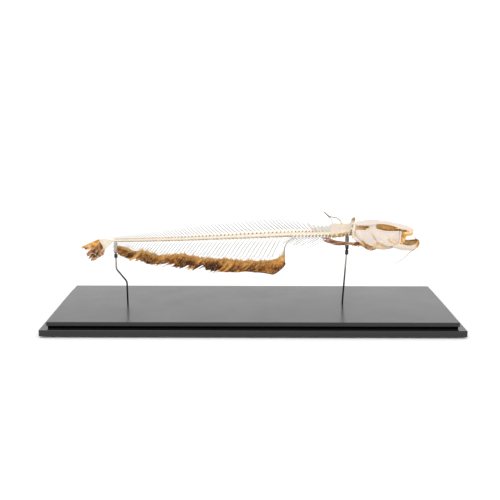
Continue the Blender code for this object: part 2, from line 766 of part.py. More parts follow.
def build_barbels():
    """The dried feeler under the chin and the stub of one at the tip of the jaw."""
    route = (
        (329, -19.6, 146.8, 0.75), (326, -20.4, 146.0, 0.75), (321.4, -21, 143.4, 0.7), (313.8, -21, 135.3, 0.65),
        (306.3, -20.5, 128.4, 0.6), (299, -20, 123, 0.5), (291.6, -19.5, 118.2, 0.35),
    )
    tubes("barbel_chin", [route], DRIED_SKIN, roundness=1)
    stub = ((338.4, 1.5, 163.6, 1.0), (336, 1.5, 166.2, 0.9), (332.6, 1.5, 169.6, 0.5), (329.6, 1.5, 172.6, 0.35))
    tubes("barbel_tip", [stub], DRIED_SKIN)


# ---- the whole mount ---------------------------------------------------------------------------------------
build_boards()
build_rod("rod_front", ROD_FRONT, 4)
build_rod("rod_rear", ROD_REAR, 6)
build_fork("front", 194.0, 132.8, 142.2, 172.6, 6.4)
build_fork("rear", -284.2, 124.5, 132.4, 159.6, 4.0)

all_ends = vertebra_ends()
trunk_count = sum(x > RIB_END for x in all_ends)
tail_ends = all_ends[trunk_count - 1 :]
third = len(tail_ends) // 3
build_neck()
build_trunk(all_ends[:trunk_count])
column("tail_vertebrae_front", tail_ends[: third + 1], neural_spine, haemal_spine)
column("tail_vertebrae_middle", tail_ends[third : 2 * third + 1], neural_spine, haemal_spine)
column("tail_vertebrae_rear", tail_ends[2 * third :], neural_spine, haemal_spine)
build_tail_plate()

build_anal_fin([haemal_tip(x)[0] for x in middles(tail_ends) if x < FIN_FRONT - 1])
build_tail_fin()
build_dorsal_fin()
build_pectoral_fins()

build_braincase()
build_upper_jaw()
both_sides(build_lower_jaw)
both_sides(build_cheek)
both_sides(build_gill_cover)
both_sides(build_maxilla)
both_sides(build_hyoid)
both_sides(build_girdle)
build_barbels()
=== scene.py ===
import math

import bpy
import numpy as np
from mathutils import Matrix, Vector


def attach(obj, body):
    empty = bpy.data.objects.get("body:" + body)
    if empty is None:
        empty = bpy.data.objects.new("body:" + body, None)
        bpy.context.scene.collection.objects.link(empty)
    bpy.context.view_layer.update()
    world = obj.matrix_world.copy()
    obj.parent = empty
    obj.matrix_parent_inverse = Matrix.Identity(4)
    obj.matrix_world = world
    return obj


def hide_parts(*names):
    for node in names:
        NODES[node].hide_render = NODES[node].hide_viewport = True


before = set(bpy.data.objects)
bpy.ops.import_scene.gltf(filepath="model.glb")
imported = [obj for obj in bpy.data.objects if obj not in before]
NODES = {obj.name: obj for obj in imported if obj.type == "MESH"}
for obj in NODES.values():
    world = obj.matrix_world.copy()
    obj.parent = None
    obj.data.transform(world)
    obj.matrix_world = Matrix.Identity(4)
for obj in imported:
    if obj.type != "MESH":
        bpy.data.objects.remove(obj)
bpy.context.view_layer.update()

MM = 0.001
rng = np.random.default_rng(7)


# ---- tables of the solids, in millimetres; the anal fin's edges follow the photo more closely here ---------
def through(*points):
    """A smooth function of x through the (x, value) points, flat beyond them; it takes numbers or arrays."""
    points = np.array(points, float)
    points = points[np.argsort(points[:, 0])]
    xs, ys = points[:, 0], points[:, 1]
    low, high = np.maximum(np.arange(len(xs)) - 1, 0), np.minimum(np.arange(len(xs)) + 1, len(xs) - 1)
    slopes = (ys[high] - ys[low]) / (xs[high] - xs[low])

    def value(x):
        x = np.clip(x, xs[0], xs[-1])
        i = np.clip(np.searchsorted(xs, x, side="right") - 1, 0, len(xs) - 2)
        span = xs[i + 1] - xs[i]
        t = (x - xs[i]) / span
        rise = ys[i] * (1 + 2 * t) * (1 - t) ** 2 + ys[i + 1] * t * t * (3 - 2 * t)
        return rise + span * t * (1 - t) * (slopes[i] * (1 - t) - slopes[i + 1] * t)

    return value


column_height = through((208, 181), (150, 176.4), (76, 174.9), (-48, 169.2), (-151, 164.6), (-289, 160.8))
centrum_radius = through((208, 4.8), (117, 4.5), (14, 4.2), (-110, 3.2), (-213, 2.6), (-289, 2.1))
neural_rise = through(
    (155, 11.5), (138, 12.5), (117, 21.5), (86, 28), (56, 29),
    (2, 26), (-84, 23), (-128, 20), (-195, 13), (-278, 5),
)
neural_lean = through((155, 75), (138, 62), (117, 46), (86, 42), (-128, 42), (-195, 36), (-278, 32))
haemal_lean = through((66, 68), (40, 62), (0, 58), (-289, 54))
fin_base = through(
    (66, 133), (48, 123.0), (25, 118.7), (-27, 119.0), (-58, 122.4), (-100, 124.2),
    (-151, 132.2), (-193, 129.6), (-226, 138.0), (-246, 138.8), (-266, 145), (-281, 146.5), (-291, 142),
)
fin_edge = through(
    (67.6, 111), (62.5, 104), (56.3, 99), (49, 93.2), (42, 89.4), (30, 91.2), (14, 92.6),
    (-6, 93.6), (-28, 93.3), (-60, 92.8), (-92, 90.5), (-108, 98.2), (-140, 98.0), (-183, 104.5),
    (-214, 108.5), (-235, 114.2), (-255, 116), (-272, 125), (-291, 136),
)
fin_sweep = through((66, -1), (57, 5), (45, 15), (30, 24), (-240, 22), (-262, 13), (-287, 4))
fin_side = through((66, 0), (-255, 0), (-272, 8.6), (-291, 9.2))
SPINE_FRONT, FREE_SPINE, RIB_END, TAIL_END = 205.8, 158.0, 79.0, -289.0  # places x along the backbone
BLADES_END = 126  # the free spines in front of this are broad blades
LAST_HAEMAL = -281  # behind this, only arches hang from the backbone
FIN_FRONT, FIN_REAR = 66.0, -287.0
FIN_CUTS = (FIN_FRONT, -50.0, -168.0, FIN_REAR)
BOARD_TOP = 28.2
FRONT_FORK, REAR_FORK = 194.0, -284.2


def pitch(x):
    """Length of a free vertebra, as counted in the photo: longest in the middle of the fish."""
    if x > 60:
        return max(7.0, 8.0 - 0.0196 * (x - 60))
    return 8.45 - 0.0075 * x if x > 0 else 8.45 + 0.0108 * x


def vertebra_ends():
    """Where the free vertebrae meet, from the neck to the tail."""
    ends = [FREE_SPINE]
    while ends[-1] - pitch(ends[-1]) > TAIL_END:
        ends.append(ends[-1] - pitch(ends[-1]))
    return ends


# ---- mesh tools --------------------------------------------------------------------------------------------
def clamp(value):
    return np.clip(value, 0, 1)


def steps(count):
    return np.linspace(0, 1, count)


def unit(v):
    return v / np.maximum(np.linalg.norm(v, axis=-1, keepdims=True), 1e-9)


def spline(points, count):
    """A Catmull-Rom curve through rows of numbers, sampled evenly by row."""
    p = np.array(points, float)
    p = np.vstack([2 * p[0] - p[1], p, 2 * p[-1] - p[-2]])
    at = np.linspace(0, len(p) - 3, count)
    i = np.minimum(at.astype(int), len(p) - 4)
    t = (at - i)[:, None]
    a, b, c, d = p[i], p[i + 1], p[i + 2], p[i + 3]
    return 0.5 * (2 * b + (c - a) * t + (2 * a - 5 * b + 4 * c - d) * t**2 + (3 * b - a - 3 * c + d) * t**3)


def noise3(points, size, seed):
    """Smooth value noise from -1 to 1, with features of the given size, at rows or grids of points."""
    q = np.asarray(points, float) / size
    cell = np.floor(q).astype(np.int64)
    f = q - cell
    f = f * f * (3 - 2 * f)
    total = np.zeros(q.shape[:-1])
    for corner in range(8):
        step = np.array([corner & 1, corner >> 1 & 1, corner >> 2 & 1])
        key = (cell + step) * np.array([374761393, 668265263, 1274126177])
        h = key.sum(-1) + seed * 974711
        h = (h ^ (h >> 13)) * 1103515245
        h = (h ^ (h >> 17)) * 12345679
        value = ((h >> 8) & 0xFFFF) / 32767.5 - 1
        total += value * np.prod(np.where(step, f, 1 - f), axis=-1)
    return total


def fractal(points, size, seed):
    """Three octaves of noise3."""
    return sum(noise3(points, size / 2**k, seed + k) / 2**k for k in range(3)) / 1.7


def spread(value, count):
    """A number, a pair of end values or a full row, as a row of count numbers."""
    value = np.asarray(value, float)
    return np.linspace(*value, count) if value.shape == (2,) else np.broadcast_to(value, count)


def on_axis(x):
    """Points on the x axis, to look up noise along the fish."""
    return np.stack([x, x * 0, x * 0], 1)


def rising(x, start, length):
    """0 up to start, then evenly up to 1 over the length."""
    return clamp((x - start) / length)


def falling(x, start, length):
    """0 down to start, then evenly up to 1 over the length below it."""
    return clamp((start - x) / length)


class Shape:
    """Points in millimetres with faces, a place across and along (uv) and a stain, gathered into one mesh."""

    def __init__(self):
        self.points, self.faces, self.uv, self.stain = [], [], [], []
        self.count = 0

    def add(self, points, faces, uv=None, stain=0.0):
        points = np.asarray(points, float).reshape(-1, 3)
        self.faces += [tuple(i + self.count for i in f) for f in faces]
        self.points.append(points)
        self.uv.append(np.zeros((len(points), 2)) if uv is None else np.asarray(uv, float).reshape(-1, 2))
        self.stain.append(np.broadcast_to(np.asarray(stain, float), len(points)))
        self.count += len(points)

    def make(self, name, paint):
        mesh = bpy.data.meshes.new(name)
        points = np.vstack(self.points) * MM
        mesh.from_pydata(points.tolist(), [], self.faces)
        mesh.update()
        layer = mesh.uv_layers.new(name="UVMap")
        corner = np.zeros(len(mesh.loops), np.int32)
        mesh.loops.foreach_get("vertex_index", corner)
        layer.data.foreach_set("uv", np.vstack(self.uv)[corner].ravel())
        obj = bpy.data.objects.new(name, mesh)
        bpy.context.scene.collection.objects.link(obj)
        mesh.shade_smooth()
        set_stain(obj, np.concatenate(self.stain))
        mesh.materials.append(paint)
        return obj

    def place(self, name, paint, slot, *nodes):
        placed(self.make(name, paint), slot, *nodes)


def set_stain(obj, values):
    layer = obj.data.attributes.get("stain") or obj.data.attributes.new("stain", "FLOAT", "POINT")
    layer.data.foreach_set("value", np.ascontiguousarray(clamp(values), np.float32))


def tube(shape, path, width, depth=None, sides=8, ref=(0, 1, 0), stain=0.0):
    """A rod along a path: half width lies nearest to ref and half depth across it."""
    path = np.asarray(path, float)
    n = len(path)
    width = spread(width, n)
    depth = width if depth is None else spread(depth, n)
    t = unit(np.gradient(path, axis=0))
    ref = np.asarray(ref, float)
    side = unit(ref - (t @ ref)[:, None] * t)
    other = np.cross(t, side)
    turn = np.arange(sides) * 2 * math.pi / sides
    ring = path[:, None] + side[:, None] * (np.cos(turn) * width[:, None])[..., None]
    ring = ring + other[:, None] * (np.sin(turn) * depth[:, None])[..., None]
    small = np.minimum(width, depth)
    tips = np.array([path[0] - t[0] * 0.5 * small[0], path[-1] + t[-1] * 0.5 * small[-1]])
    faces = []
    for k in range(n - 1):
        a, b = k * sides, (k + 1) * sides
        faces += [(a + j, a + (j + 1) % sides, b + (j + 1) % sides, b + j) for j in range(sides)]
    first, last = n * sides, (n - 1) * sides
    faces += [((j + 1) % sides, j, first) for j in range(sides)]
    faces += [(last + j, last + (j + 1) % sides, first + 1) for j in range(sides)]
    v = np.append(np.repeat(steps(n), sides), (0, 1))
    stain = spread(stain, n)
    stain = np.append(np.repeat(stain, sides), (stain[0], stain[-1]))
    shape.add(np.vstack([ring.reshape(-1, 3), tips]), faces, np.stack([0 * v, v], 1), stain)


def strand(shape, route, count, width, depth=None, **how):
    """A tube along the smooth curve through a few points."""
    tube(shape, spline(route, count), width, depth, **how)


def shell(shape, grid, thick, stain=0.0, holes=None):
    """A closed thin plate on both sides of a grid of points; holes marks cells that are torn out."""
    grid = np.asarray(grid, float)
    n, m = grid.shape[:2]
    normal = unit(np.cross(np.gradient(grid, axis=0), np.gradient(grid, axis=1)))
    thick = np.broadcast_to(thick, (n, m))[..., None] / 2
    points = np.concatenate([(grid + normal * thick).reshape(-1, 3), (grid - normal * thick).reshape(-1, 3)])
    keep = np.ones((n - 1, m - 1), bool) if holes is None else ~holes
    back = n * m
    faces = []
    for i in range(n - 1):
        for j in range(m - 1):
            if not keep[i, j]:
                continue
            a, b, c, d = i * m + j, (i + 1) * m + j, (i + 1) * m + j + 1, i * m + j + 1
            faces += [(a, b, c, d), (a + back, d + back, c + back, b + back)]
            for p, q, (r, s) in ((a, d, (i - 1, j)), (c, b, (i + 1, j)), (b, a, (i, j - 1)), (d, c, (i, j + 1))):
                if not (0 <= r < n - 1 and 0 <= s < m - 1 and keep[r, s]):
                    faces.append((p, q, q + back, p + back))
    us, vs = np.meshgrid(steps(n), steps(m), indexing="ij")
    uv = np.tile(np.stack([us.ravel(), vs.ravel()], 1), (2, 1))
    stain = np.tile(np.broadcast_to(stain, (n, m)).ravel(), 2)
    used = np.unique([i for f in faces for i in f])
    order = np.full(2 * n * m, -1)
    order[used] = np.arange(len(used))
    shape.add(points[used], [tuple(order[list(f)]) for f in faces], uv[used], stain[used])


def sculpt(shape, name, paint, voxel, relief, stain, smooth):
    """Melts overlapping closed forms into one bone, then gives it relief and stain from where each point is."""
    raw = shape.make(name + "_raw", paint)
    melt = raw.modifiers.new("melt", "REMESH")
    melt.mode = "VOXEL"
    melt.voxel_size = voxel * MM
    soft = raw.modifiers.new("soft", "SMOOTH")
    soft.iterations = smooth
    soft.factor = 0.5
    graph = bpy.context.evaluated_depsgraph_get()
    graph.update()
    mesh = bpy.data.meshes.new_from_object(raw.evaluated_get(graph))
    bpy.data.objects.remove(raw)
    mesh.name = name
    obj = bpy.data.objects.new(name, mesh)
    bpy.context.scene.collection.objects.link(obj)
    count = len(mesh.vertices)
    points, normals = np.zeros(count * 3), np.zeros(count * 3)
    mesh.vertices.foreach_get("co", points)
    mesh.vertices.foreach_get("normal", normals)
    points, normals = points.reshape(-1, 3) / MM, normals.reshape(-1, 3)
    moved = points + normals * relief(points, normals)[:, None]
    mesh.vertices.foreach_set("co", (moved * MM).ravel())
    mesh.update()
    mesh.shade_smooth()
    mesh.materials.clear()
    mesh.materials.append(paint)
    set_stain(obj, stain(points, normals))
    return obj


def near(points, a, b, reach):
    """1 on the segment from a to b, fading to 0 at the given distance from it."""
    a, b = np.array(a, float), np.array(b, float)
    t = clamp(((points - a) @ (b - a)) / ((b - a) @ (b - a)))
    gap = np.linalg.norm(points - (a + t[:, None] * (b - a)), axis=1)
    return clamp(1 - gap / reach)


def drawn(points, route, reach):
    """1 on a route given as (x, z) over a plate, fading smoothly to 0 at the given distance, whatever y is."""
    best = np.zeros(len(points))
    for a, b in zip(route, route[1:]):
        best = np.maximum(best, near(points * (1, 0, 1), (a[0], 0, a[1]), (b[0], 0, b[1]), reach))
    return best * best * (3 - 2 * best)


def on_side(side, *points):
    """Points given for the left side (side 1), or their mirror images on the right (side -1)."""
    points = np.array(points, float)
    points[:, 1] *= side
    return points


def mirrored(shape):
    """The same forms on the fish's other side."""
    other = Shape()
    other.points = [p * (1, -1, 1) for p in shape.points]
    other.faces = [tuple(reversed(f)) for f in shape.faces]
    other.uv, other.stain, other.count = list(shape.uv), list(shape.stain), shape.count
    return other


def placed(obj, slot, *nodes):
    """Puts a finished piece on the part in place of the solids that it stands for; the slot is not used."""
    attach(obj, "root")
    if nodes:
        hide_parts(*nodes)


def sculpt_pair(right, left, piece, node, paint, voxel, relief, stain, smooth, left_stain=None):
    """A bone of the right side and its twin, whose relief and stain are those of the mirrored place."""
    for name, shape, flip, tint in (("right", right, 1, stain), ("left", left, -1, left_stain or stain)):
        side = np.array((1, flip, 1))
        obj = sculpt(shape, piece + name, paint, voxel, lambda p, n: relief(p * side, n * side),
                     lambda p, n: tint(p * side, n * side), smooth)
        placed(obj, "bone", node + name)


# ---- paints ------------------------------------------------------------------------------------------------
def set_ramp(ramp, stops):
    """Gives a ramp its (place, colour or grey) stops."""
    while len(ramp.elements) < len(stops):
        ramp.elements.new(0.5)
    for element, (at, colour) in zip(ramp.elements, stops):
        element.position = at
        element.color = (*colour, 1) if np.ndim(colour) else (colour, colour, colour, 1)


class Paint:
    """A Principled material whose colour, roughness and relief come from procedural nodes in object space."""

    def __init__(self, name, **fixed):
        self.made = bpy.data.materials.new(name)
        self.made.use_nodes = True
        self.tree = self.made.node_tree
        self.shader = self.tree.nodes["Principled BSDF"]
        for socket, value in fixed.items():
            self.shader.inputs[socket.replace("_", " ")].default_value = value
        self.place = self.new("ShaderNodeTexCoord").outputs["Object"]

    def new(self, kind, **props):
        node = self.tree.nodes.new(kind)
        for key, value in props.items():
            setattr(node, key, value)
        return node

    def wire(self, value, socket):
        if isinstance(value, bpy.types.NodeSocket):
            self.tree.links.new(value, socket)
        else:
            socket.default_value = value

    def noise(self, size, detail, rough=0.55, stretch=None):
        """Noise whose features are about size millimetres, or longer along stretched axes."""
        where = self.place
        if stretch:
            mapping = self.new("ShaderNodeMapping")
            mapping.inputs["Scale"].default_value = stretch
            self.wire(where, mapping.inputs["Vector"])
            where = mapping.outputs[0]
        node = self.new("ShaderNodeTexNoise")
        self.wire(where, node.inputs["Vector"])
        node.inputs["Scale"].default_value = 1000 / size
        node.inputs["Detail"].default_value = detail
        node.inputs["Roughness"].default_value = rough
        return node.outputs[0]

    def stain(self):
        return self.new("ShaderNodeAttribute", attribute_name="stain").outputs["Fac"]

    def scatter(self, size, detail, rough, most):
        """Noise around 0 that reaches about half of most on either side."""
        return self.math("MULTIPLY", self.math("SUBTRACT", self.noise(size, detail, rough), 0.5), most)

    def height(self):
        split = self.new("ShaderNodeSeparateXYZ")
        self.wire(self.place, split.inputs[0])
        return split.outputs["Z"]

    def math(self, how, a, b, clamp=False):
        node = self.new("ShaderNodeMath", operation=how, use_clamp=clamp)
        self.wire(a, node.inputs[0])
        self.wire(b, node.inputs[1])
        return node.outputs[0]

    def ramp(self, factor, *stops):
        node = self.new("ShaderNodeValToRGB")
        set_ramp(node.color_ramp, stops)
        self.wire(factor, node.inputs[0])
        return node.outputs[0]

    def mix(self, factor, a, b):
        node = self.new("ShaderNodeMix", data_type="RGBA")
        self.wire(factor, node.inputs[0])
        self.wire(a, node.inputs[6])
        self.wire(b, node.inputs[7])
        return node.outputs[2]

    def bump(self, height, depth, strength=0.6, after=None):
        """Relief of about depth millimetres."""
        node = self.new("ShaderNodeBump")
        node.inputs["Strength"].default_value = strength
        node.inputs["Distance"].default_value = depth * MM
        self.wire(height, node.inputs["Height"])
        if after:
            self.wire(after, node.inputs["Normal"])
        return node.outputs[0]

    def done(self, **sockets):
        for socket, value in sockets.items():
            self.wire(value, self.shader.inputs[socket.replace("_", " ")])
        return self.made


def bone_paint(name, light, dull, pale=(0.84, 0.67, 0.48), gold=(0.82, 0.44, 0.08), brown=(0.30, 0.125, 0.030),
               deep=(0.09, 0.04, 0.018), grain=(1, 1, 1), tint=0.5):
    """Dry bone: cream with mauve-grey and straw clouds, pores, and dried tissue where the stain is."""
    p = Paint(name, Subsurface_Weight=0.10, Subsurface_Radius=(1.0, 0.6, 0.35), Subsurface_Scale=0.0012)
    clouds = p.noise(13, 4)
    fine = p.noise(2.2, 5, 0.62, stretch=grain)
    clean = p.ramp(clouds, (0.32, light), (0.55, dull), (0.72, light))
    straw = p.ramp(p.noise(9, 4, 0.6), (0.52, 0.0), (0.70, 0.75 * tint))
    clean = p.mix(straw, clean, (light[0] * 0.98, light[1] * 0.90, light[2] * 0.68, 1))
    mauve = p.ramp(p.noise(7, 4, 0.6), (0.55, 0.0), (0.72, tint))
    clean = p.mix(mauve, clean, (dull[0] * 0.88, dull[1] * 0.90, dull[2] * 1.02, 1))
    clean = p.mix(p.ramp(fine, (0.38, 0.0), (0.75, 0.42)), clean, (*[c * 0.74 for c in dull], 1))
    patchy = p.math("ADD", p.stain(), p.scatter(4.5, 5, 0.6, 0.42))
    tissue = p.ramp(patchy, (0.12, pale), (0.40, gold), (0.70, brown), (1.0, deep))
    cover = p.ramp(patchy, (0.06, 0.0), (0.40, 1.0))
    colour = p.mix(cover, clean, tissue)
    gloss = p.ramp(p.noise(3, 3), (0.3, 0.42), (0.7, 0.6))
    pores = p.noise(0.55, 2, 0.5, stretch=grain)
    relief = p.bump(fine, 0.24, 0.55)
    relief = p.bump(pores, 0.06, 0.5, after=relief)
    return p.done(Base_Color=colour, Roughness=gloss, Normal=relief)


def fin_paint(name, pale, gold, tan, brown, dark):
    """Dried fin skin and rays, from the palest at no stain to the darkest at full stain."""
    p = Paint(name, Subsurface_Weight=0.06, Subsurface_Radius=(1.0, 0.45, 0.2), Subsurface_Scale=0.001,
              Specular_IOR_Level=0.2)
    blotch = p.scatter(10, 5, 0.65, 0.7)
    level = p.math("ADD", p.stain(), blotch)
    colour = p.ramp(level, (0.0, pale), (0.22, gold), (0.45, tan), (0.68, brown), (0.95, dark))
    bright = p.ramp(p.noise(2.6, 4, 0.65, stretch=(1, 1, 0.6)), (0.54, 0.0), (0.66, 0.72))
    colour = p.mix(bright, colour, (*[0.55 * a + 0.45 * b for a, b in zip(pale, gold)], 1))
    fibres = p.noise(1.1, 4, 0.6, stretch=(0.9, 1, 0.5))
    colour = p.mix(p.ramp(fibres, (0.37, 0.68), (0.52, 0.0)), colour, (*dark, 1))
    relief = p.bump(fibres, 0.3, 0.7)
    relief = p.bump(p.noise(0.4, 2), 0.08, 0.5, after=relief)
    return p.done(Base_Color=colour, Roughness=p.ramp(fibres, (0.3, 0.38), (0.7, 0.65)), Normal=relief)


def lacquer_paint(name, shine, depth=1.0):
    """Satin black lacquer with a faint orange-peel surface, dust and fine rubs."""
    p = Paint(name, Specular_IOR_Level=shine)
    peel = p.noise(7, 2)
    dust = p.ramp(p.noise(1.3, 6, 0.7), (0.66, 0.0), (0.80, 0.35))
    colour = p.mix(dust, (0.0085 * depth, 0.0082 * depth, 0.009 * depth, 1),
                   (0.03 * depth, 0.03 * depth, 0.032 * depth, 1))
    gloss = p.ramp(p.noise(60, 5, 0.6), (0.3, 0.205), (0.7, 0.265))
    relief = p.bump(peel, 0.012, 0.25)
    return p.done(Base_Color=colour, Roughness=gloss, Normal=relief)


def steel_paint():
    """Steel wire with painted reflection, near black low down and pale at the top, with streaks and rust spots."""
    p = Paint("steel_painted_reflection", Metallic=0.85)
    streak = p.noise(1.6, 5, 0.65, stretch=(1, 1, 0.06))
    spots = p.ramp(p.noise(5, 5, 0.7), (0.52, 0.0), (0.70, 0.6))
    # painted reflection: by height the colour runs from near black low down, as the black board would mirror, to
    # pale grey at the top, as the white room would mirror
    height = p.math("ADD", p.height(), p.scatter(8, 4, 0.55, 0.02))
    tall = p.math("DIVIDE", height, 0.16, clamp=True)
    base = p.ramp(tall, (0.20, (0.010, 0.008, 0.007)), (0.46, (0.022, 0.017, 0.014)), (0.60, (0.16, 0.13, 0.105)),
                  (0.8, (0.55, 0.52, 0.49)))
    colour = p.mix(p.ramp(streak, (0.3, 0.0), (0.7, 0.4)), base, (0.03, 0.024, 0.02, 1))
    colour = p.mix(p.math("MULTIPLY", spots, 0.5), colour, (0.06, 0.038, 0.022, 1))
    gloss = p.ramp(streak, (0.3, 0.22), (0.7, 0.4))
    return p.done(Base_Color=colour, Roughness=gloss, Normal=p.bump(streak, 0.02, 0.4))


def rubber_paint():
    """Black rubber with a fine mottle."""
    p = Paint("black_rubber")
    speck = p.noise(1.2, 5, 0.6)
    colour = p.ramp(speck, (0.35, (0.006, 0.006, 0.0065)), (0.75, (0.018, 0.018, 0.019)))
    return p.done(Base_Color=colour, Roughness=p.ramp(speck, (0.3, 0.42), (0.7, 0.62)), Normal=p.bump(speck, 0.04))


def sleeve_paint(name, dull, clear, top, through_it):
    """Plastic tubing that has clouded and yellowed a little with age, with painted light on its upper end."""
    p = Paint(name, Transmission_Weight=through_it, IOR=1.42, Coat_Weight=0.4, Coat_Roughness=0.08)
    haze = p.noise(4, 4, stretch=(1, 1, 0.3))
    colour = p.ramp(haze, (0.3, dull), (0.7, clear))
    # painted light: above a set height the colour turns to top, a painted highlight on the sleeve's upper end
    upper = p.ramp(p.math("DIVIDE", p.height(), 0.2, clamp=True), (0.77, 0.0), (0.83, 1.0))
    colour = p.mix(upper, colour, (*top, 1))
    return p.done(Base_Color=colour, Roughness=p.ramp(haze, (0.3, 0.12), (0.7, 0.34)), Normal=p.bump(haze, 0.05))


SKULL_PAINT = bone_paint("skull_bone", (0.80, 0.715, 0.63), (0.72, 0.625, 0.56))
SPINE_PAINT = bone_paint("spine_bone", (0.95, 0.885, 0.77), (0.90, 0.82, 0.68), grain=(0.35, 1, 1), tint=0.2)
CREAM = (0.86, 0.78, 0.64)
# thin bones painted dark grey: mostly painted shade, with some of the greyer look of thin bone; cream where stained
THIN_BONE_PAINTED_SHADE = bone_paint("thin_bone_painted_shade", (0.42, 0.395, 0.37), (0.31, 0.29, 0.27), CREAM, CREAM, CREAM, CREAM)
FIN_PAINT = fin_paint("dried_fin_skin", (0.92, 0.62, 0.26), (0.80, 0.37, 0.062), (0.50, 0.178, 0.030),
                      (0.165, 0.053, 0.013), (0.040, 0.013, 0.005))
BLADE_PAINT = bone_paint("blade_bone", (0.80, 0.77, 0.72), (0.69, 0.66, 0.62), CREAM, (0.60, 0.48, 0.33))
CHEEK_PAINT = bone_paint("cheek_bone", (0.80, 0.715, 0.63), (0.72, 0.625, 0.56), pale=(0.78, 0.62, 0.45),
                         gold=(0.66, 0.43, 0.22), brown=(0.42, 0.21, 0.08))
FLESH_PAINT = bone_paint("dried_flesh", (0.82, 0.66, 0.52), (0.74, 0.56, 0.43), gold=(0.62, 0.34, 0.15),
                         brown=(0.36, 0.17, 0.085))
NECK_PAINT = bone_paint("neck_bone", (0.88, 0.80, 0.69), (0.80, 0.71, 0.60), gold=(0.64, 0.45, 0.19),
                        brown=(0.36, 0.20, 0.10))
PADDLE_PAINT = fin_paint("dried_paddle_skin", (0.86, 0.62, 0.47), (0.64, 0.36, 0.22), (0.39, 0.18, 0.095),
                         (0.17, 0.068, 0.038), (0.050, 0.024, 0.016))
TAIL_PAINT = fin_paint("dried_tail_skin", (0.92, 0.66, 0.40), (0.76, 0.42, 0.17), (0.50, 0.225, 0.085),
                       (0.20, 0.078, 0.035), (0.045, 0.020, 0.012))
SKIN_PAINT = bone_paint("dried_skin", (0.60, 0.42, 0.29), (0.48, 0.31, 0.19), pale=(0.66, 0.45, 0.27),
                        gold=(0.46, 0.22, 0.07))
LACQUER = lacquer_paint("satin_black_lacquer", 0.5)
# the recess between the boards: the lacquer's colour scaled down to 0.08, as painted shade in the gap
GAP_PAINTED_SHADE = lacquer_paint("gap_lacquer_painted_shade", 0.02, 0.08)
STEEL = steel_paint()
RUBBER = rubber_paint()
CLEAR_SLEEVE = sleeve_paint("clouded_clear_sleeve", (0.60, 0.56, 0.50), (0.90, 0.87, 0.84), (0.93, 0.90, 0.87), 0.6)
# the smoky sleeve's near black is partly its smoky plastic, partly painted shade under the pectoral fin
SMOKY_SLEEVE = sleeve_paint("smoky_grey_sleeve", (0.012, 0.012, 0.011), (0.05, 0.05, 0.045), (0.26, 0.24, 0.15),
                            0.3)


# ---- backbone ----------------------------------------------------------------------------------------------
CENTRUM = ((0.02, 0.50), (0.02, 0.93), (0.06, 1.0), (0.12, 0.97), (0.22, 0.86), (0.36, 0.785), (0.5, 0.765),
           (0.64, 0.785), (0.78, 0.86), (0.88, 0.97), (0.94, 1.0), (0.98, 0.93), (0.98, 0.50))


def centrum(shape, front, rear):
    """One spool-shaped vertebral body with raised rims, hollow ends and struts along its waist."""
    t, share = np.array(CENTRUM).T
    sides = 20
    turn = np.arange(sides) * 2 * math.pi / sides
    x = front - t * (front - rear)
    mid = centrum_radius((front + rear) / 2)
    waist = np.exp(-(((t - 0.5) / 0.26) ** 2))[:, None]
    strut = 1 + waist * (0.05 * np.cos(5 * turn + 0.6) + 0.035 * np.cos(10 * turn + rng.uniform(0, 6)))
    r = mid * share[:, None] * strut
    ring = np.stack([np.broadcast_to(x[:, None], r.shape), r * np.cos(turn),
                     column_height(x)[:, None] + r * np.sin(turn)], -1)
    n = len(t)
    sunk = 0.3 * (front - rear)
    hollow = [(front - sunk, 0, column_height(front)), (rear + sunk, 0, column_height(rear))]
    faces = []
    for k in range(n - 1):
        a, b = k * sides, (k + 1) * sides
        faces += [(a + j, b + j, b + (j + 1) % sides, a + (j + 1) % sides) for j in range(sides)]
    c, last = n * sides, (n - 1) * sides
    faces += [(j, (j + 1) % sides, c) for j in range(sides)]
    faces += [(last + (j + 1) % sides, last + j, c + 1) for j in range(sides)]
    rims = np.where((t < 0.05) | (t > 0.95), 0.28, 0.0)
    # the underside is stained a little: partly dried tissue, partly painted shade under the column
    under = clamp(-np.sin(turn)) * 0.14
    tint = np.append((rims[:, None] + under).ravel(), (0.4, 0.4))
    shape.add(np.vstack([ring.reshape(-1, 3), hollow]), faces, stain=tint)


def arch(shape, x, sign, apex, wide, stain=0.06):
    """The two pillars of a neural (sign 1) or haemal (sign -1) arch, which meet at the apex."""
    h, r = column_height(x), centrum_radius(x)
    for side in (-1, 1):
        foot = (x + 0.4, side * 0.66 * r, h + sign * 0.60 * r)
        path = spline([foot, (x - 0.3, side * 0.60 * r, h + sign * (r + 0.5)),
                       (x - 1.2, side * 0.36 * r, h + sign * (r + 1.5)), apex], 7)
        tube(shape, path, [0.42, 0.42, 0.4, 0.4, 0.42, 0.45, 0.45],
             np.array([1.0, 0.86, 0.72, 0.62, 0.58, 0.6, 0.62]) * wide, stain=stain)
    if sign < 0:
        return
    top = h + r
    for side in (-r, r):
        fore = [(x + 1.0, 0.55 * side, h + 0.78 * r), (x + 2.2, 0.5 * side, top + 0.7),
                (x + 3.0, 0.42 * side, top + 1.3)]
        strand(shape, fore, 4, [0.42, 0.36, 0.3, 0.16], sides=6, stain=stain)
        aft = [(x - 2.2, 0.5 * side, h + 0.8 * r), (x - 3.0, 0.45 * side, top + 0.3),
               (x - 3.5, 0.42 * side, top + 0.5)]
        strand(shape, aft, 4, [0.42, 0.34, 0.28, 0.16], sides=6, stain=stain)


ROOT_CREAM = (0.9, 0.6, 0.3, 0.14, 0.08, 0.05, 0.03, 0.02, 0, 0, 0)


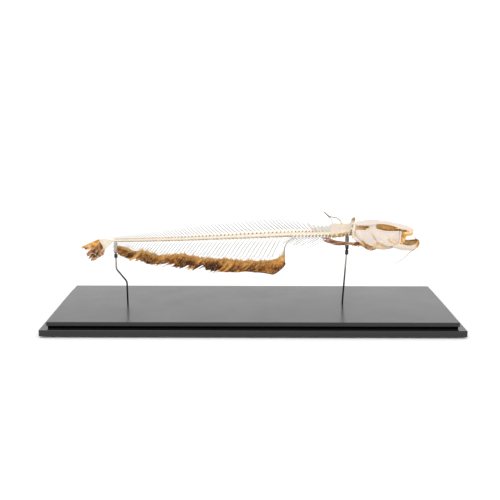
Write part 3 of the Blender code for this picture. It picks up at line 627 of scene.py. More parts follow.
def spine_rod(shape, start, tip, bow, base, end):
    """A long thin spine: flat from side to side, slightly bowed, cream at its root and fine at its tip."""
    start, tip = np.array(start, float), np.array(tip, float)
    along = tip - start
    length = np.linalg.norm(along)
    across = np.array([along[2], 0, -along[0]]) / length
    sway = rng.uniform(-0.5, 0.5)
    bow = bow + rng.uniform(-0.012, 0.012)
    middle = start + 0.5 * along + across * bow * length + (0, 0.6 * sway, 0)
    path = spline([start, start + 0.22 * along + across * 0.62 * bow * length, middle, tip + (0, sway, 0)], 11)
    taper = steps(11) ** 0.85
    point = np.array([1.0] * 9 + [0.9, 0.3])
    width, depth = ((a + (b - a) * taper) * point for a, b in zip(base, end))
    tube(shape, path, width, depth, sides=7, stain=ROOT_CREAM)


def neural_tip(x, sway=1.0, tall=0.97):
    """Where the spine over a vertebra ends."""
    rise = neural_rise(x)
    back = rise / math.tan(math.radians(neural_lean(x)))
    return x - 2.0 - back * sway, 0, column_height(x) + centrum_radius(x) + 1.6 + rise * tall


def neural(shape, rods, broad, x):
    """The arch and spine over a vertebra, and its blade in front."""
    h, r = column_height(x), centrum_radius(x)
    size = r / 4.4
    apex = np.array([x - 2.3, 0, h + r + 2.6 * size + 0.3])
    arch(shape, x, 1, apex, 0.30 * pitch(x) * 0.5)
    tip = neural_tip(x, rng.uniform(0.96, 1.02), rng.uniform(0.94, 1.0))
    spine_rod(rods, apex - (-0.3, 0, 0.3), tip, -0.03, (0.48, 0.95 * size + 0.2), (0.34, 0.54))
    if x > BLADES_END:
        blade(broad, x, h + r + 1.0, tip)


def blade(shape, x, foot, tip):
    """The first free spines are broad thin blades."""
    grid = np.zeros((9, 7, 3))
    for i, share in enumerate(steps(9)):
        middle = np.array([x - 1.6, 0, foot]) * (1 - share) + np.array(tip) * share
        half = (3.5 + 0.3 * math.sin(9 * share + x)) * (1 - 0.62 * max(0, (share - 0.55) / 0.45) ** 2)
        for j, a in enumerate(np.linspace(-1, 1, 7)):
            grid[i, j] = middle + (a * half, 0.2 * math.sin(3 * a + x), -0.5 * a * a * share)
    shell(shape, grid, 0.9, stain=np.linspace(0.24, 0.02, 9)[:, None] + np.zeros((9, 7)))


def spine_sheet(shape, middle_xs):
    """Thin ragged bone between the broad first spines, up to the crest."""
    tips = np.array([neural_tip(x) for x in middle_xs if x > BLADES_END][::-1]
                    + [(156.5, 0, 195.4), (160.5, 0, 197.2)])
    xs = np.linspace(tips[1, 0], 160.5, 110)
    line = on_axis(xs)
    ragged = 1.3 + 2.4 * np.abs(noise3(line, 3.1, 17)) + 5.5 * falling(xs, 142, 16)
    top = np.interp(xs, tips[:, 0], tips[:, 2]) - ragged * falling(xs, 160, 5)
    low = column_height(xs) + centrum_radius(xs) * 0.8
    grid = np.stack([np.stack([xs + 2.0 * (1 - share), 0.3 * np.sin(xs / 1.7 + 3 * share),
                               low + (top - low) * share], 1)
                     for share in steps(12)], 1)
    tone = 0.10 + 0.14 * np.sin(xs * 2 * math.pi / 7.0)[:, None] * np.linspace(1, 0.2, 12)
    shell(shape, grid, 0.6, stain=clamp(tone))


def haemal_tip(x):
    """Where the spine under a vertebra ends, just over the base of the anal fin."""
    lean = math.tan(math.radians(haemal_lean(x)))
    root = column_height(x) - centrum_radius(x)
    tip = x
    for _ in range(12):
        tip = x - 2.2 - (root - fin_base(tip) - 1.6) / lean
    return tip, fin_base(tip) + 1.6


def haemal(shape, rods, x):
    """The arch and spine under a tail vertebra."""
    h, r = column_height(x), centrum_radius(x)
    size = r / 4.4
    apex = np.array([x - 2.3, 0, h - r - 2.3 * size - 0.3])
    arch(shape, x, -1, apex, 0.26 * pitch(x) * 0.5, stain=0.1)
    tip_x, tip = haemal_tip(x)
    spine_rod(rods, apex + (0.2, 0, 0.3), (tip_x, 0, tip), 0.02, (0.44, 0.74 * size + 0.18), (0.36, 0.56))


def rib(shape, x, side):
    """A flattened side process with the slender rib that hangs from it."""
    share = 0.72 + 0.28 * (x - RIB_END) / (FREE_SPINE - RIB_END)
    h, r = column_height(x), centrum_radius(x)
    wing = [(x + 0.6, side * 0.6 * r, h - 1.6), (x - 0.8, side * 5.6, h - 3.6),
            (x - 3.0, side * (4.5 + 6 * share), h - 5.6)]
    strand(shape, wing, 6, [1.9, 1.6, 1.3, 1.1, 1.0, 0.7], [0.7, 0.55, 0.45, 0.4, 0.4, 0.35], ref=(1, 0, 0),
           stain=0.6)
    route = [(x - 1.5, side * (3 + 6 * share), h - 5.2), (x - 4 * share, side * (4 + 6 * share), h - 6.2),
             (x - 22 * share, side * (4 + 14 * share), h - 4 - 12 * share),
             (x - 42 * share, side * (4 + 12 * share), h - 4 - 26 * share)]
    path = spline(route, 18)[: rng.integers(14, 19)]
    path = path[np.linspace(0, len(path) - 1, 18).astype(int)] if len(path) < 18 else path
    path[:, 1] += side * 0.5 * noise3(path, 9, int(x))
    tube(shape, path, np.linspace(0.95, 0.34, 18) * rng.uniform(0.8, 1.2), (0.6, 0.3),
         stain=np.linspace(0.6, -1.2, 18).clip(0))


def middles(ends):
    return [(a + b) / 2 for a, b in zip(ends, ends[1:])]


def build_column():
    """The free vertebrae in four runs, each with its discs, arches, spines and dried cords, and the ribs."""
    ends = vertebra_ends()
    trunk = sum(x > RIB_END for x in ends)
    tail = ends[trunk - 1 :]
    third = len(tail) // 3
    runs = (("trunk", "trunk_vertebrae", ends[:trunk]),
            ("tail_front", "tail_vertebrae_front", tail[: third + 1]),
            ("tail_middle", "tail_vertebrae_middle", tail[third : 2 * third + 1]),
            ("tail_rear", "tail_vertebrae_rear", tail[2 * third :]))
    for name, node, run in runs:
        shape, rods, broad = Shape(), Shape(), Shape()
        for front, rear in zip(run, run[1:]):
            x = (front + rear) / 2
            centrum(shape, front, rear)
            disc(shape, front)
            neural(shape, rods, broad, x)
            if LAST_HAEMAL < x < FIN_FRONT - 1:
                haemal(shape, rods, x)
            elif x <= LAST_HAEMAL:
                arch(shape, x, -1, np.array([x - 2.3, 0, column_height(x) - 4.2]), 0.8)
        cords(shape, run, haemal_too=name != "trunk")
        shape.place("backbone_" + name, SPINE_PAINT, "bone", node)
        rods.place("spines_" + name, THIN_BONE_PAINTED_SHADE, "bone")
        if name == "trunk":
            spine_sheet(broad, middles(run))
            broad.place("spine_blades", BLADE_PAINT, "bone")
    for side, name in ((-1, "right"), (1, "left")):
        shape = Shape()
        for x in middles(ends[:trunk]):
            rib(shape, x, side)
        shape.place("ribs_" + name + "_side", THIN_BONE_PAINTED_SHADE, "bone", "ribs_" + name)


def disc(shape, x):
    """The ring of dried gristle that fills the joint in front of a vertebra."""
    h, r = column_height(x), centrum_radius(x)
    path = on_axis(x + np.linspace(-0.34, 0.34, 4)) + (0, 0, h)
    tube(shape, path, r * np.array([0.90, 0.955, 0.955, 0.90]), sides=20, stain=rng.uniform(0.04, 0.24))


def cords(shape, run, haemal_too):
    """The dried cord over the bodies, and scraps of dried vessel that show under each joint."""
    front, rear = run[0] - 0.4, run[-1] + 0.4
    x = np.linspace(front, rear, max(8, int((front - rear) / 1.2)))
    h, r = column_height(x), centrum_radius(x)
    line = np.stack([x, h, r], 1)
    wobble = 0.18 * noise3(line, 3.1, 3)
    gap = np.min(np.abs(x[:, None] - np.array(run)[None] + 0.6), axis=1)
    tick = np.exp(-((gap / 1.3) ** 2)) * np.clip((150 - x) / 12, 0.35, 1)
    tone = clamp(0.05 + 0.95 * tick + 0.25 * noise3(line, 4.3, 9))
    upper = np.stack([x, wobble, h + r * 0.98 + 0.35 + wobble + 0.7 * tick], 1)
    tube(shape, upper, 0.8 + 0.7 * tick + wobble, 0.6 + 1.1 * tick, stain=tone)
    # the lower cord: a dark strand of dried vessel under the bodies, which also stands for painted shade along the
    # column's underside
    low_tone = np.clip(0.50 + 0.35 * tick + 0.40 * noise3(line, 3.7, 10), 0.1, 1)
    lower = np.stack([x, -0.5 + wobble, h - r * 0.99 - 0.15 + wobble], 1)
    tube(shape, lower, 0.75 + 0.4 * tick, 0.55 + 0.4 * tick, stain=low_tone)
    for joint in run[:-1]:
        for _ in range(3 if haemal_too else 2):
            at = joint + rng.uniform(-2.6, 1.0)
            low = column_height(at) - centrum_radius(at) * 0.92
            side = rng.uniform(-0.9, 0.9) * centrum_radius(at) / 4
            scrap = [(at + 1.6, side, low + 0.1), (at, side * 1.1, low - 0.45), (at - 1.7, side * 0.9, low - 0.1)]
            strand(shape, scrap, 6, [0.2, 0.55, 0.75, 0.7, 0.5, 0.15], [0.2, 0.5, 0.7, 0.7, 0.5, 0.15], sides=6,
                   stain=rng.uniform(0.5, 1.0))


def neck_lift(x):
    """The neck's side plates stand higher in front."""
    return 5.0 * rising(x, 170, 24)


neck_reach = through((204, 9), (190, 16), (181, 17.5), (166, 9))
SHRED = np.array([0.3, 0.8, 1, 1, 0.9, 0.6, 0.2])


def build_neck():
    """Five fused vertebrae: a ribbed crest over them and a broad ragged side plate with dried muscle on it."""
    shape = Shape()
    count = round((SPINE_FRONT - FREE_SPINE) / 10)
    ends = [SPINE_FRONT - 10 * k for k in range(count)] + [FREE_SPINE]
    for front, rear in zip(ends, ends[1:]):
        centrum(shape, front + 0.15, rear - 0.1)
    xs = np.linspace(203.5, 158.8, 60)
    line = on_axis(xs)
    top = 198.3 + 0.35 * np.sin(xs / 1.9) + 0.5 * noise3(line, 4.0, 5) - 1.6 * falling(xs, 163, 5)
    low = column_height(xs) + 2.2
    grid = np.stack([np.stack([xs + 1.5 * share, 0.25 * np.sin(xs / 2.3 + 5 * share), low + (top - low) * share], 1)
                     for share in steps(14)], 1)
    shell(shape, grid, np.linspace(2.6, 0.8, 14)[None, :])
    for x in np.arange(202, 160, -3.4):
        route = [(x, 0, column_height(x) + 3.5), (x - 0.6, 0, 189), (x - 0.2, 0, 197.6)]
        strand(shape, route, 6, [1.9, 1.4, 1.0, 0.8, 0.7, 0.5], [0.9, 0.8, 0.6, 0.5, 0.5, 0.4])
    xs = np.linspace(204, 161, 70)
    reach = through((204, 9), (199, 13), (190, 17.5), (181, 19), (173, 16), (166, 10), (161, 4))(xs)
    for side in (-1, 1):
        line = np.stack([xs, xs * 0 + side, xs * 0], 1)
        ragged = reach + 1.6 * np.sin(xs / 1.55) + 1.8 * noise3(line, 3.2, 15)
        grid = np.zeros((70, 16, 3))
        for k, share in enumerate(steps(16)):
            sag = 5.2 * share**1.4 + 0.9 * noise3(line + (0, 9 * share, 0), 5, 16) * share
            high = column_height(xs) - 1.2 - sag + neck_lift(xs)
            grid[:, k] = np.stack([xs - 2.5 * share, side * (2.4 + (ragged - 2.4) * share), high], 1)
        shell(shape, grid, np.linspace(2.4, 0.8, 16)[None, :])
        for x in (201, 192, 183, 174, 166):
            out = neck_reach(x)
            high = column_height(x) + neck_lift(x)
            route = on_side(side, (x, 3, high - 1.5), (x - 1.5, 0.6 * out, high - 3.6), (x - 3.4, out, high - 6.6))
            strand(shape, route, 9, (1.9, 1.0), (1.7, 0.9), sides=10)

    def relief(p, n):
        ribs = 0.18 * np.sin(p[:, 0] * 1.9 + 0.25 * p[:, 2])
        return np.where(np.abs(p[:, 1]) < 3, ribs, 0.6 * ribs) + 0.32 * fractal(p, 3.0, 11)

    def stain(p, n):
        low = falling(p[:, 2], 180.0 + neck_lift(p[:, 0]), 4.5)
        out = rising(np.abs(p[:, 1]), 2.5, 6)
        return 0.03 + low * (0.06 + 0.46 * out) + 0.60 * fractal(p, 4.5, 12) * low * out

    placed(sculpt(shape, "neck_complex", NECK_PAINT, 0.42, relief, stain, 2), "bone", "neck_vertebrae")
    flesh = Shape()
    for _ in range(130):
        side = rng.choice((-1, 1))
        x = rng.uniform(162, 205)
        out = rng.uniform(0.25, 1.0) * neck_reach(x)
        z = column_height(x) - 1.8 - 6.0 * (out / 18) ** 1.4 + rng.uniform(-0.6, 1.2) + neck_lift(x)
        length, sink = rng.uniform(2.5, 7.5), rng.uniform(-1.8, 0.9)
        scrap = spline([(x + length / 2, side * out, z), (x, side * (out + 0.5), z + rng.uniform(-0.4, 0.6)),
                        (x - length / 2, side * (out + 0.2), z + sink)], 7)
        wide = rng.uniform(0.35, 1.1)
        tube(flesh, scrap, SHRED * wide * 0.6, SHRED * wide, sides=7, stain=rng.uniform(0.3, 0.95))
    flesh.place("neck_dried_muscle", NECK_PAINT, "dried_skin")


def build_neck_shreds():
    """Dried shreds that hang where the neck meets the first free vertebrae."""
    own = np.random.default_rng(77)
    taper = np.array([0.7, 1, 1, 0.9, 0.8, 0.5, 0.2])
    shape = Shape()
    for _ in range(56):
        side = own.choice((-1, 1))
        x, out, fall = own.uniform(150, 171), own.uniform(1.0, 9.0), own.uniform(2.5, 6.0)
        high = column_height(x) - 3.4 - 0.12 * out
        sway = own.uniform(-1, 1)
        route = [(x, side * 0.6 * out, high), (x - 1.2 + sway, side * out, high - 0.5 * fall),
                 (x - 3.0 + 2 * sway, side * (out + 0.5), high - fall)]
        wide = own.uniform(0.5, 1.2)
        strand(shape, route, 7, 0.5 * wide * taper, wide * taper, sides=7, stain=own.uniform(0.4, 1.0))
    shape.place("neck_shreds", NECK_PAINT, "dried_skin")


def build_tail_plate():
    """The fan of hypural plates: separate grooved blades that spread from the last vertebra."""
    shape = Shape()
    blades = 7

    def place(share, across):
        """A point of the fan in (x, z): share from root to edge, across from top to bottom."""
        top = np.array([-289.5, 162.2]) + np.array([-28.0, 1.8]) * share
        low = np.array([-288.5, 157.6]) + np.array([-17.5, -16.4]) * share
        return top + (low - top) * across

    for b in range(blades):
        a, c = b / blades, (b + 1) / blades - 0.012
        grid = np.zeros((16, 7, 3))
        for i, share in enumerate(steps(16)):
            for j, across in enumerate(np.linspace(a, c, 7)):
                q = place(share, across)
                bow = 0.5 * math.sin(math.pi * (across - a) / (c - a)) * share
                grid[i, j] = (q[0] + 0.8 * share**6 * math.sin(9 * across * blades), bow - 0.25, q[1])
        shell(shape, grid, np.linspace(1.5, 0.7, 16)[:, None], stain=0.05 + 0.22 * steps(16)[:, None] ** 4)
    web = np.zeros((12, 12, 3))
    for i, share in enumerate(np.linspace(0.06, 0.97, 12)):
        for j, across in enumerate(np.linspace(0.02, 0.98, 12)):
            q = place(share, across)
            web[i, j] = (q[0], 0.1, q[1])
    shell(shape, web, 0.5, stain=0.10)
    strand(shape, [(-287.4, 0, 160.9), (-296, 0, 162.6), (-306, 0, 164.2), (-313, 0, 165.0)], 12, (1.5, 0.5),
           (1.7, 0.5), stain=0.06)
    shape.place("tail_plates", SPINE_PAINT, "bone", "tail_plate")


# ---- fins --------------------------------------------------------------------------------------------------
def fin_surface(x, tip_x, tip_z, t):
    """Points down the rays that start at x and end at the tips, for each share t of their length."""
    side = fin_side(x)
    wave = 2.6 * np.sin(x / 13.0) + 1.4 * np.sin(x / 5.1)
    base = fin_base(x)
    a = np.stack([x, side, base], -1)[:, None]
    b = np.stack([x - 0.30 * (x - tip_x), side + 0.4 * wave, base + 0.74 * (tip_z - base)], -1)[:, None]
    c = np.stack([tip_x, side + wave, tip_z], -1)[:, None]
    t = np.broadcast_to(t, (len(x), np.shape(t)[-1]))[..., None]
    return (1 - t) ** 2 * a + 2 * t * (1 - t) * b + t**2 * c


def ray_tips(x):
    """Where rays end: in bundles swept back to a point, with a step up to the torn edge of the next bundle."""
    natural = x - fin_sweep(x)
    great = (-197.0, -183.0, -143.0, -114.0, -78.0)
    locks = list(great)
    at = 54.0
    while at > -290:
        if min(abs(at - lock) for lock in great) > 6:
            locks.append(at)
        at -= rng.uniform(4.5, 9.0) if at > -60 else rng.uniform(6.0, 13.0)
    locks = np.array(sorted(locks) + [80.0])
    owner = np.clip(np.searchsorted(locks, natural, side="right") - 1, 0, len(locks) - 2)
    after = locks[owner + 1]
    share = clamp((natural - locks[owner]) / (after - locks[owner]))
    big, deep = np.isin(locks[owner], great), np.isin(after, great)
    soft = np.clip((natural + 76) / 16, 0, 0.86) + 0.14 * rising(natural, -20, 20)
    throw = rng.uniform(1.2, 3.6, len(locks))[owner]
    tip_x = natural - np.where(big, 8.5, throw) * (1 - share) ** 1.4 * (1 - soft)
    notch = rng.uniform(0.06, 0.2, len(locks))[owner]
    short = (np.where(deep, 0.30, notch) * share**1.8 * (1 - soft)
             + rng.uniform(-0.03, 0.05, len(x)) * (1 - 0.8 * soft))
    base = fin_base(x)
    dip = np.where(big, 1.6, 0.4) * clamp(1 - 2.5 * share) * (1 - soft)
    tip_z = fin_edge(tip_x) + 1.0 + short * (base - fin_edge(tip_x)) - dip
    return tip_x, tip_z


def build_anal_fin():
    """Rays, the creased skin between them, frayed tissue along the base and the small bones that carry them."""
    count = 124
    xs = np.linspace(FIN_FRONT - 0.4, FIN_REAR, count) + rng.uniform(-0.5, 0.5, count)
    tip_x, tip_z = ray_tips(xs)
    tone = rng.normal(0, 0.20, count)
    tone = 0.55 * tone + 0.75 * np.convolve(tone, np.ones(3) / 1.7, "same")
    t = steps(30)
    for name, front, rear in zip(("front", "middle", "rear"), FIN_CUTS, FIN_CUTS[1:]):
        first, last = int(np.argmin(np.abs(xs - front))), int(np.argmin(np.abs(xs - rear)))
        shape = Shape()
        fine = 6  # steps of the skin from ray to ray
        index = np.linspace(first, last, (last - first) * fine + 1)
        low = np.minimum(index.astype(int), last - 1)
        w = index - low
        smooth = w * w * (3 - 2 * w)

        def blend(row):
            return row[low] * (1 - smooth) + row[low + 1] * smooth

        phase = index * 2 * math.pi
        between = (1 - np.cos(phase)) / 2  # 0 on a ray, 1 halfway to the next
        line = on_axis(blend(xs))
        jump = np.abs(tip_z[low + 1] - tip_z[low]) + np.abs(tip_x[low + 1] - tip_x[low])
        torn = rising(jump, 4, 4) * between
        reach = 0.95 + 0.04 * noise3(line, 5.0, 8) + 0.05 * noise3(line, 1.3, 9) - 0.04 * between - 0.30 * torn
        whole = clamp((blend(xs) + 50) / 30)
        reach = reach + (1.0 - reach) * whole
        skin = fin_surface(blend(xs), blend(tip_x), blend(tip_z), t[None, :] * reach[:, None])
        free = np.sin(math.pi * np.clip(t, 0.03, 1) * 0.8)[None, :]
        crumple = (1.2 * fractal(skin * (0.8, 1, 1), 9, 31) + 0.7 * fractal(skin, 3.2, 33)) * free
        skin[:, :, 1] += crumple + 0.40 * np.cos(phase)[:, None] * free
        streak = 1.7 * blend(tone)[:, None] * (0.35 + 0.65 * t[None, :])
        valley = 0.32 * between[:, None]
        blots = 0.36 * fractal(skin * (0.8, 1, 1), 12, 35) + 0.26 * noise3(skin * (1, 1, 0.8), 2.6, 36)
        calm = 1 - 0.45 * rising(skin[:, :, 0], -40, 40)
        dark = fin_darkness(skin) + (streak + blots) * calm + valley - 0.09
        slits = (fractal(skin * (1, 1, 0.7), 3.4, 44)[:-1, :-1] > 0.62) & (t[None, :-1] > 0.45)
        shell(shape, skin, 0.30, stain=dark, holes=slits)
        for i in range(first, last + 1):
            at = (i - first) * fine
            body = fin_surface(xs[i : i + 1], tip_x[i : i + 1], tip_z[i : i + 1], t)[0]
            body[:, 1] += crumple[at] + 0.40 * free[0]
            tint = clamp(fin_darkness(body) + tone[i] * (0.35 + 0.65 * t) - 0.18)
            joints = 1 + 0.13 * np.cos(np.arange(30) * math.pi)
            for side in (-0.42, 0.42):
                rod = body + np.stack([0 * t, side * np.linspace(1, 0.25, 30), 0 * t], 1)
                tube(shape, rod, np.linspace(0.36, 0.10, 30) * joints, np.linspace(0.46, 0.12, 30) * joints,
                     sides=5, stain=tint)
        loose_fibres(shape, xs[first:last], tip_x[first:last], tip_z[first:last])
        if name == "front":
            front_skin()
            rim = fin_surface(xs[:20], tip_x[:20], tip_z[:20], np.array([1.0]))[:, 0]
            rim = np.vstack([rim[:1] + (0.1, 0, 4), rim])
            thick = np.interp(steps(60), (0, 0.25, 0.7, 1), (0.1, 0.7, 0.75, 0.2))
            strand(shape, rim, 60, thick, thick * 1.5, sides=8, stain=0.95)
        fringe(shape, front, rear)
        shape.place("anal_fin_" + name + "_dried", FIN_PAINT, "dried_fin", "anal_fin_" + name)
        bones = Shape()
        carriers(bones, front, rear)
        bones.place("anal_fin_" + name + "_carriers", THIN_BONE_PAINTED_SHADE, "bone")


def front_skin():
    """The pale dried skin behind the first ray, above the coloured edge."""
    ahead = spline([(64.8, 0, 147), (66.0, 0, 138), (66.3, 0, 127)], 18)
    behind = spline([(64.2, 0, 146.6), (61.8, 0, 137.5), (55.5, 0, 123)], 18)
    grid = np.stack([ahead + (behind - ahead) * a for a in steps(9)], 1)
    grid[:, :, 1] += 0.5 * fractal(grid, 5, 51)
    tone = np.linspace(0.16, 0.5, 18)[:, None] + 0.3 * fractal(grid, 4, 52)
    shape = Shape()
    shell(shape, grid, 0.5, stain=np.clip(tone, 0.05, 1))
    shape.place("anal_fin_front_skin", NECK_PAINT, "dried_fin")


TUFT = np.array([0.4, 0.9, 1, 0.9, 0.7, 0.45, 0.15])


def loose_fibres(shape, xs, tip_x, tip_z):
    """Thin strips of skin and split ray ends that have lifted off the fin."""
    for i in range(len(xs)):
        for _ in range(5):
            start = rng.uniform(0.02, 0.9)
            span = rng.uniform(0.10, 0.24)
            t = np.linspace(start, min(start + span, 1.0), 7)
            path = fin_surface(xs[i : i + 1] + rng.uniform(-1.2, 1.2), tip_x[i : i + 1], tip_z[i : i + 1], t)[0]
            side = rng.choice((-1, 1))
            path[:, 1] += (side * (0.7 + np.linspace(0, rng.uniform(0.1, 1.4), 7) ** 1.5)
                           + 0.5 * fractal(path, 4, 39))
            path[:, 0] += np.linspace(0, rng.uniform(-1.6, 1.6), 7)
            wide = rng.uniform(0.2, 0.6)
            tone = clamp(fin_darkness(path) + rng.choice((-0.55, -0.3, 0.3, 0.5)))
            tube(shape, path, [0.09, 0.162, 0.18, 0.18, 0.144, 0.09, 0.036], TUFT * wide, sides=5, stain=tone)


fin_tone = through((66, 0.45), (52, 0.48), (30, 0.36), (0, 0.42), (-30, 0.66), (-60, 0.95), (-90, 1.15),
                   (-140, 1.1), (-175, 0.76), (-215, 0.42), (-245, 0.46), (-262, 0.74), (-290, 0.6))


def fin_darkness(points):
    """How dark the dried skin is: golden at the base and the front, darkest down the middle of the fin."""
    x, z = points[..., 0], points[..., 2]
    base = fin_base(x)
    depth = clamp((base - z) / np.maximum(base - fin_edge(x - 12), 6))
    middle = np.exp(-(((depth - 0.62) / 0.38) ** 2))
    ahead = 0.669 * (x - 50) - 0.743 * (z - 94)
    front = np.exp(-((ahead / 8) ** 2)) * rising(x, 42, 10)
    return clamp(0.10 + 0.62 * middle * fin_tone(x) + 0.12 * depth + 0.50 * front)


def fringe(shape, front, rear):
    """Frayed golden tissue that stands in tufts along the fin's base."""
    for x in np.arange(front - 0.5, rear, -0.27):
        x = x + rng.uniform(-0.3, 0.3)
        if x < -284:
            continue
        spot = np.array([[x, 0.0, 0.0]])
        tuft = np.clip(0.50 + 0.85 * noise3(spot, 5.0, 51)[0] + 0.35 * noise3(spot, 1.6, 52)[0], 0.10, 1.3)
        base = fin_base(x)
        tall = tuft * rng.uniform(1.4, 6.4) * (0.55 if x > 60 else 1) * (0.45 if x < -262 else 1)
        lean = rng.uniform(-0.5, 1.3)
        side = fin_side(x) + rng.uniform(-1.4, 1.4)
        sink = rng.uniform(2.0, 6.0)
        end = (x + tall * 0.5 * lean + rng.uniform(-0.6, 0.6), side * 1.1 + rng.uniform(-0.6, 0.6), base + tall)
        route = [(x - 0.3 * sink, side * 0.9, base - sink), (x + 0.3 * lean, side, base + 0.25 * tall), end]
        wide = rng.uniform(0.14, 0.5) * np.array([0.2, 0.7, 1, 0.9, 0.7, 0.45, 0.15])
        strand(shape, route, 7, (0.25, 0.08), wide, sides=5, stain=max(0.0, rng.uniform(-0.2, 0.36)))


def carriers(shape, front, rear):
    """The small bones between the haemal spines, and the stout leading one that reaches the backbone."""
    tips = [haemal_tip(x)[0] for x in middles(vertebra_ends()) if x < FIN_FRONT - 1]
    gaps = [(a + b) / 2 for a, b in zip(tips, tips[1:])]
    for x in gaps:
        if rear < x < front - 8 and x > -270:
            lean, reach = math.radians(haemal_lean(x) - 2), (15.0 + 0.022 * x) * rng.uniform(0.7, 1.25)
            z = fin_base(x)
            route = [(x - 1.0, fin_side(x), z - 2.5), (x + 0.5, 0.5 * fin_side(x), z + 1.5),
                     (x + reach * math.cos(lean), 0, z + reach * math.sin(lean))]
            strand(shape, route, 8, (0.55, 0.25), (0.9, 0.32), sides=6, stain=(0.3, 0.0))
    if front == FIN_FRONT:
        leading = [(86.5, 0, 168.4), (78, 0, 164), (71, 0, 158), (66.3, 0, 150), (64.9, 0, 140), (64.6, 0, 129)]
        strand(shape, leading, 18, (0.9, 1.1), (0.9, 1.5), sides=10, stain=(0.25, 0.0))
        for k in range(7):
            x = 62.6 - 1.9 * k
            z = fin_base(x)
            strand(shape, [(x, 0, z - 1), (x + 0.9, 0.3, z + 6), (x + 2.6, 0, z + 13.5 - 0.9 * k)], 8, (0.4, 0.15),
                   (0.55, 0.15), sides=6, stain=(0.45, 0.0))


CLOT = np.array([0.5, 0.9, 1, 1, 0.8, 0.5])
TAIL_CLOTS = ((-311.8, 137.0, 1.4), (-312.0, 133.2, 1.2), (-311.0, 136.4, 1.6), (-313.5, 134.0, 1.6),
              (-324, 134, 1.8), (-330.5, 128, 2.2), (-325, 126, 1.7), (-335, 120.5, 1.8), (-322, 129.5, 1.4),
              (-333, 136, 1.4))  # x, z, size


def build_tail_fin():
    """Ragged rays that droop from the plates, with scraps of skin and dark dried clots."""
    edge = np.array([[-318.2, 163.6], [-306.8, 140.8]])
    lobes = {
        "tail_fin_upper": ((0, -357.8, 146), (0.1, -354, 143.5), (0.2, -345, 141), (0.38, -335, 141.0)),
        "tail_fin_lower": ((0.32, -337.4, 141.5), (0.42, -345.5, 134), (0.5, -349.2, 129), (0.6, -344, 123.7),
                           (0.68, -339, 119), (0.76, -336.4, 114.1), (0.84, -330, 116.2), (0.9, -319, 124),
                           (1, -308.5, 130.5)),
    }
    for name, rays in lobes.items():
        lower = "lower" in name
        shape = Shape()
        table = np.array(rays)
        count = 64 if lower else 34
        shares = np.linspace(table[0, 0], table[-1, 0], count)
        tx, tz = np.interp(shares, table[:, 0], table[:, 1]), np.interp(shares, table[:, 0], table[:, 2])
        grid = np.zeros((count, 22, 3))
        t = steps(22)
        wild = noise3(on_axis(shares * 40), 1.7, 68)
        for i, share in enumerate(shares):
            root = edge[0] + (edge[1] - edge[0]) * share
            cut = (1 - np.clip(0.08 + (0.12 if lower else 0.2) * wild[i] + rng.uniform(-0.05, 0.08), 0, 0.4)
                   * min(1, 6 * share))
            tip = root + (np.array([tx[i], tz[i]]) - root) * cut
            bow = 2.2 * t * math.sin(9 * share + 0.8) + 0.9 * np.sin(5 * t + 8 * share) * t
            z = root[1] + (tip[1] - root[1]) * t + 0.7 * np.sin(3.2 * t) * (0.5 - share)
            grid[i] = np.stack([root[0] + (tip[0] - root[0]) * t, bow, z], 1)
        grid[:, :, 1] += 1.2 * fractal(grid, 4, 61) * t[None, :]
        blots = fractal(grid, 5.5, 63)
        gold = np.exp(-((shares[:, None] / 0.07) ** 2))
        dark = 0.30 + 0.75 * blots + (0.16 if lower else -0.02) + 0.12 * t[None, :] - 0.45 * gold
        dark = clamp(dark - 0.35 * np.exp(-(((shares[:, None] - 0.86) / 0.07) ** 2)) * (1 - t[None, :]))
        holes = (fractal(grid * (1, 1, 1.3), 3.0, 67)[:-1, :-1] > 0.40) & (t[None, :-1] > 0.35)
        shell(shape, grid, 0.35, stain=dark, holes=holes)
        for i in range(0, count, 2):
            rod = grid[i] + (0, rng.uniform(-0.35, 0.35), 0)
            rod = rod[: rng.integers(17, 23)]
            n = len(rod)
            tint = clamp(dark[i, :n] + rng.uniform(-0.3, 0.1))
            tube(shape, rod, (0.45, 0.14), (0.40, 0.12), sides=6, stain=tint)
        for _ in range(70 if lower else 26):
            i, j = rng.integers(0, count), rng.integers(3, 18)
            span = grid[i, j : j + rng.integers(3, 5)] + (0, rng.choice((-1, 1)) * rng.uniform(0.3, 1.0), 0)
            span = span + steps(len(span))[:, None] * rng.uniform(-1, 1, 3)
            wide = rng.uniform(0.2, 0.6)
            strand(shape, span, 6, 0.16, np.array([0.3, 0.9, 1, 0.8, 0.5, 0.2]) * wide, sides=5,
                   stain=rng.uniform(0.0, 0.8))
        if lower:
            for cx, cz, size in TAIL_CLOTS:
                for _ in range(9):
                    a = np.array([cx, 0, cz]) + rng.uniform(-1, 1, 3) * (1.2 * size, 0.9, 1.0 * size)
                    b = a + rng.uniform(-1, 1, 3) * (1.1 * size, 0.4, 0.9 * size)
                    fat = rng.uniform(0.25, 0.55) * size
                    strand(shape, [a, (a + b) / 2 + rng.uniform(-0.3, 0.3, 3), b], 6, CLOT * fat * 0.5,
                           CLOT * fat, sides=7, stain=rng.uniform(0.75, 1.0))
        shape.place(name + "_dried", TAIL_PAINT if lower else FIN_PAINT, "dried_fin", name)


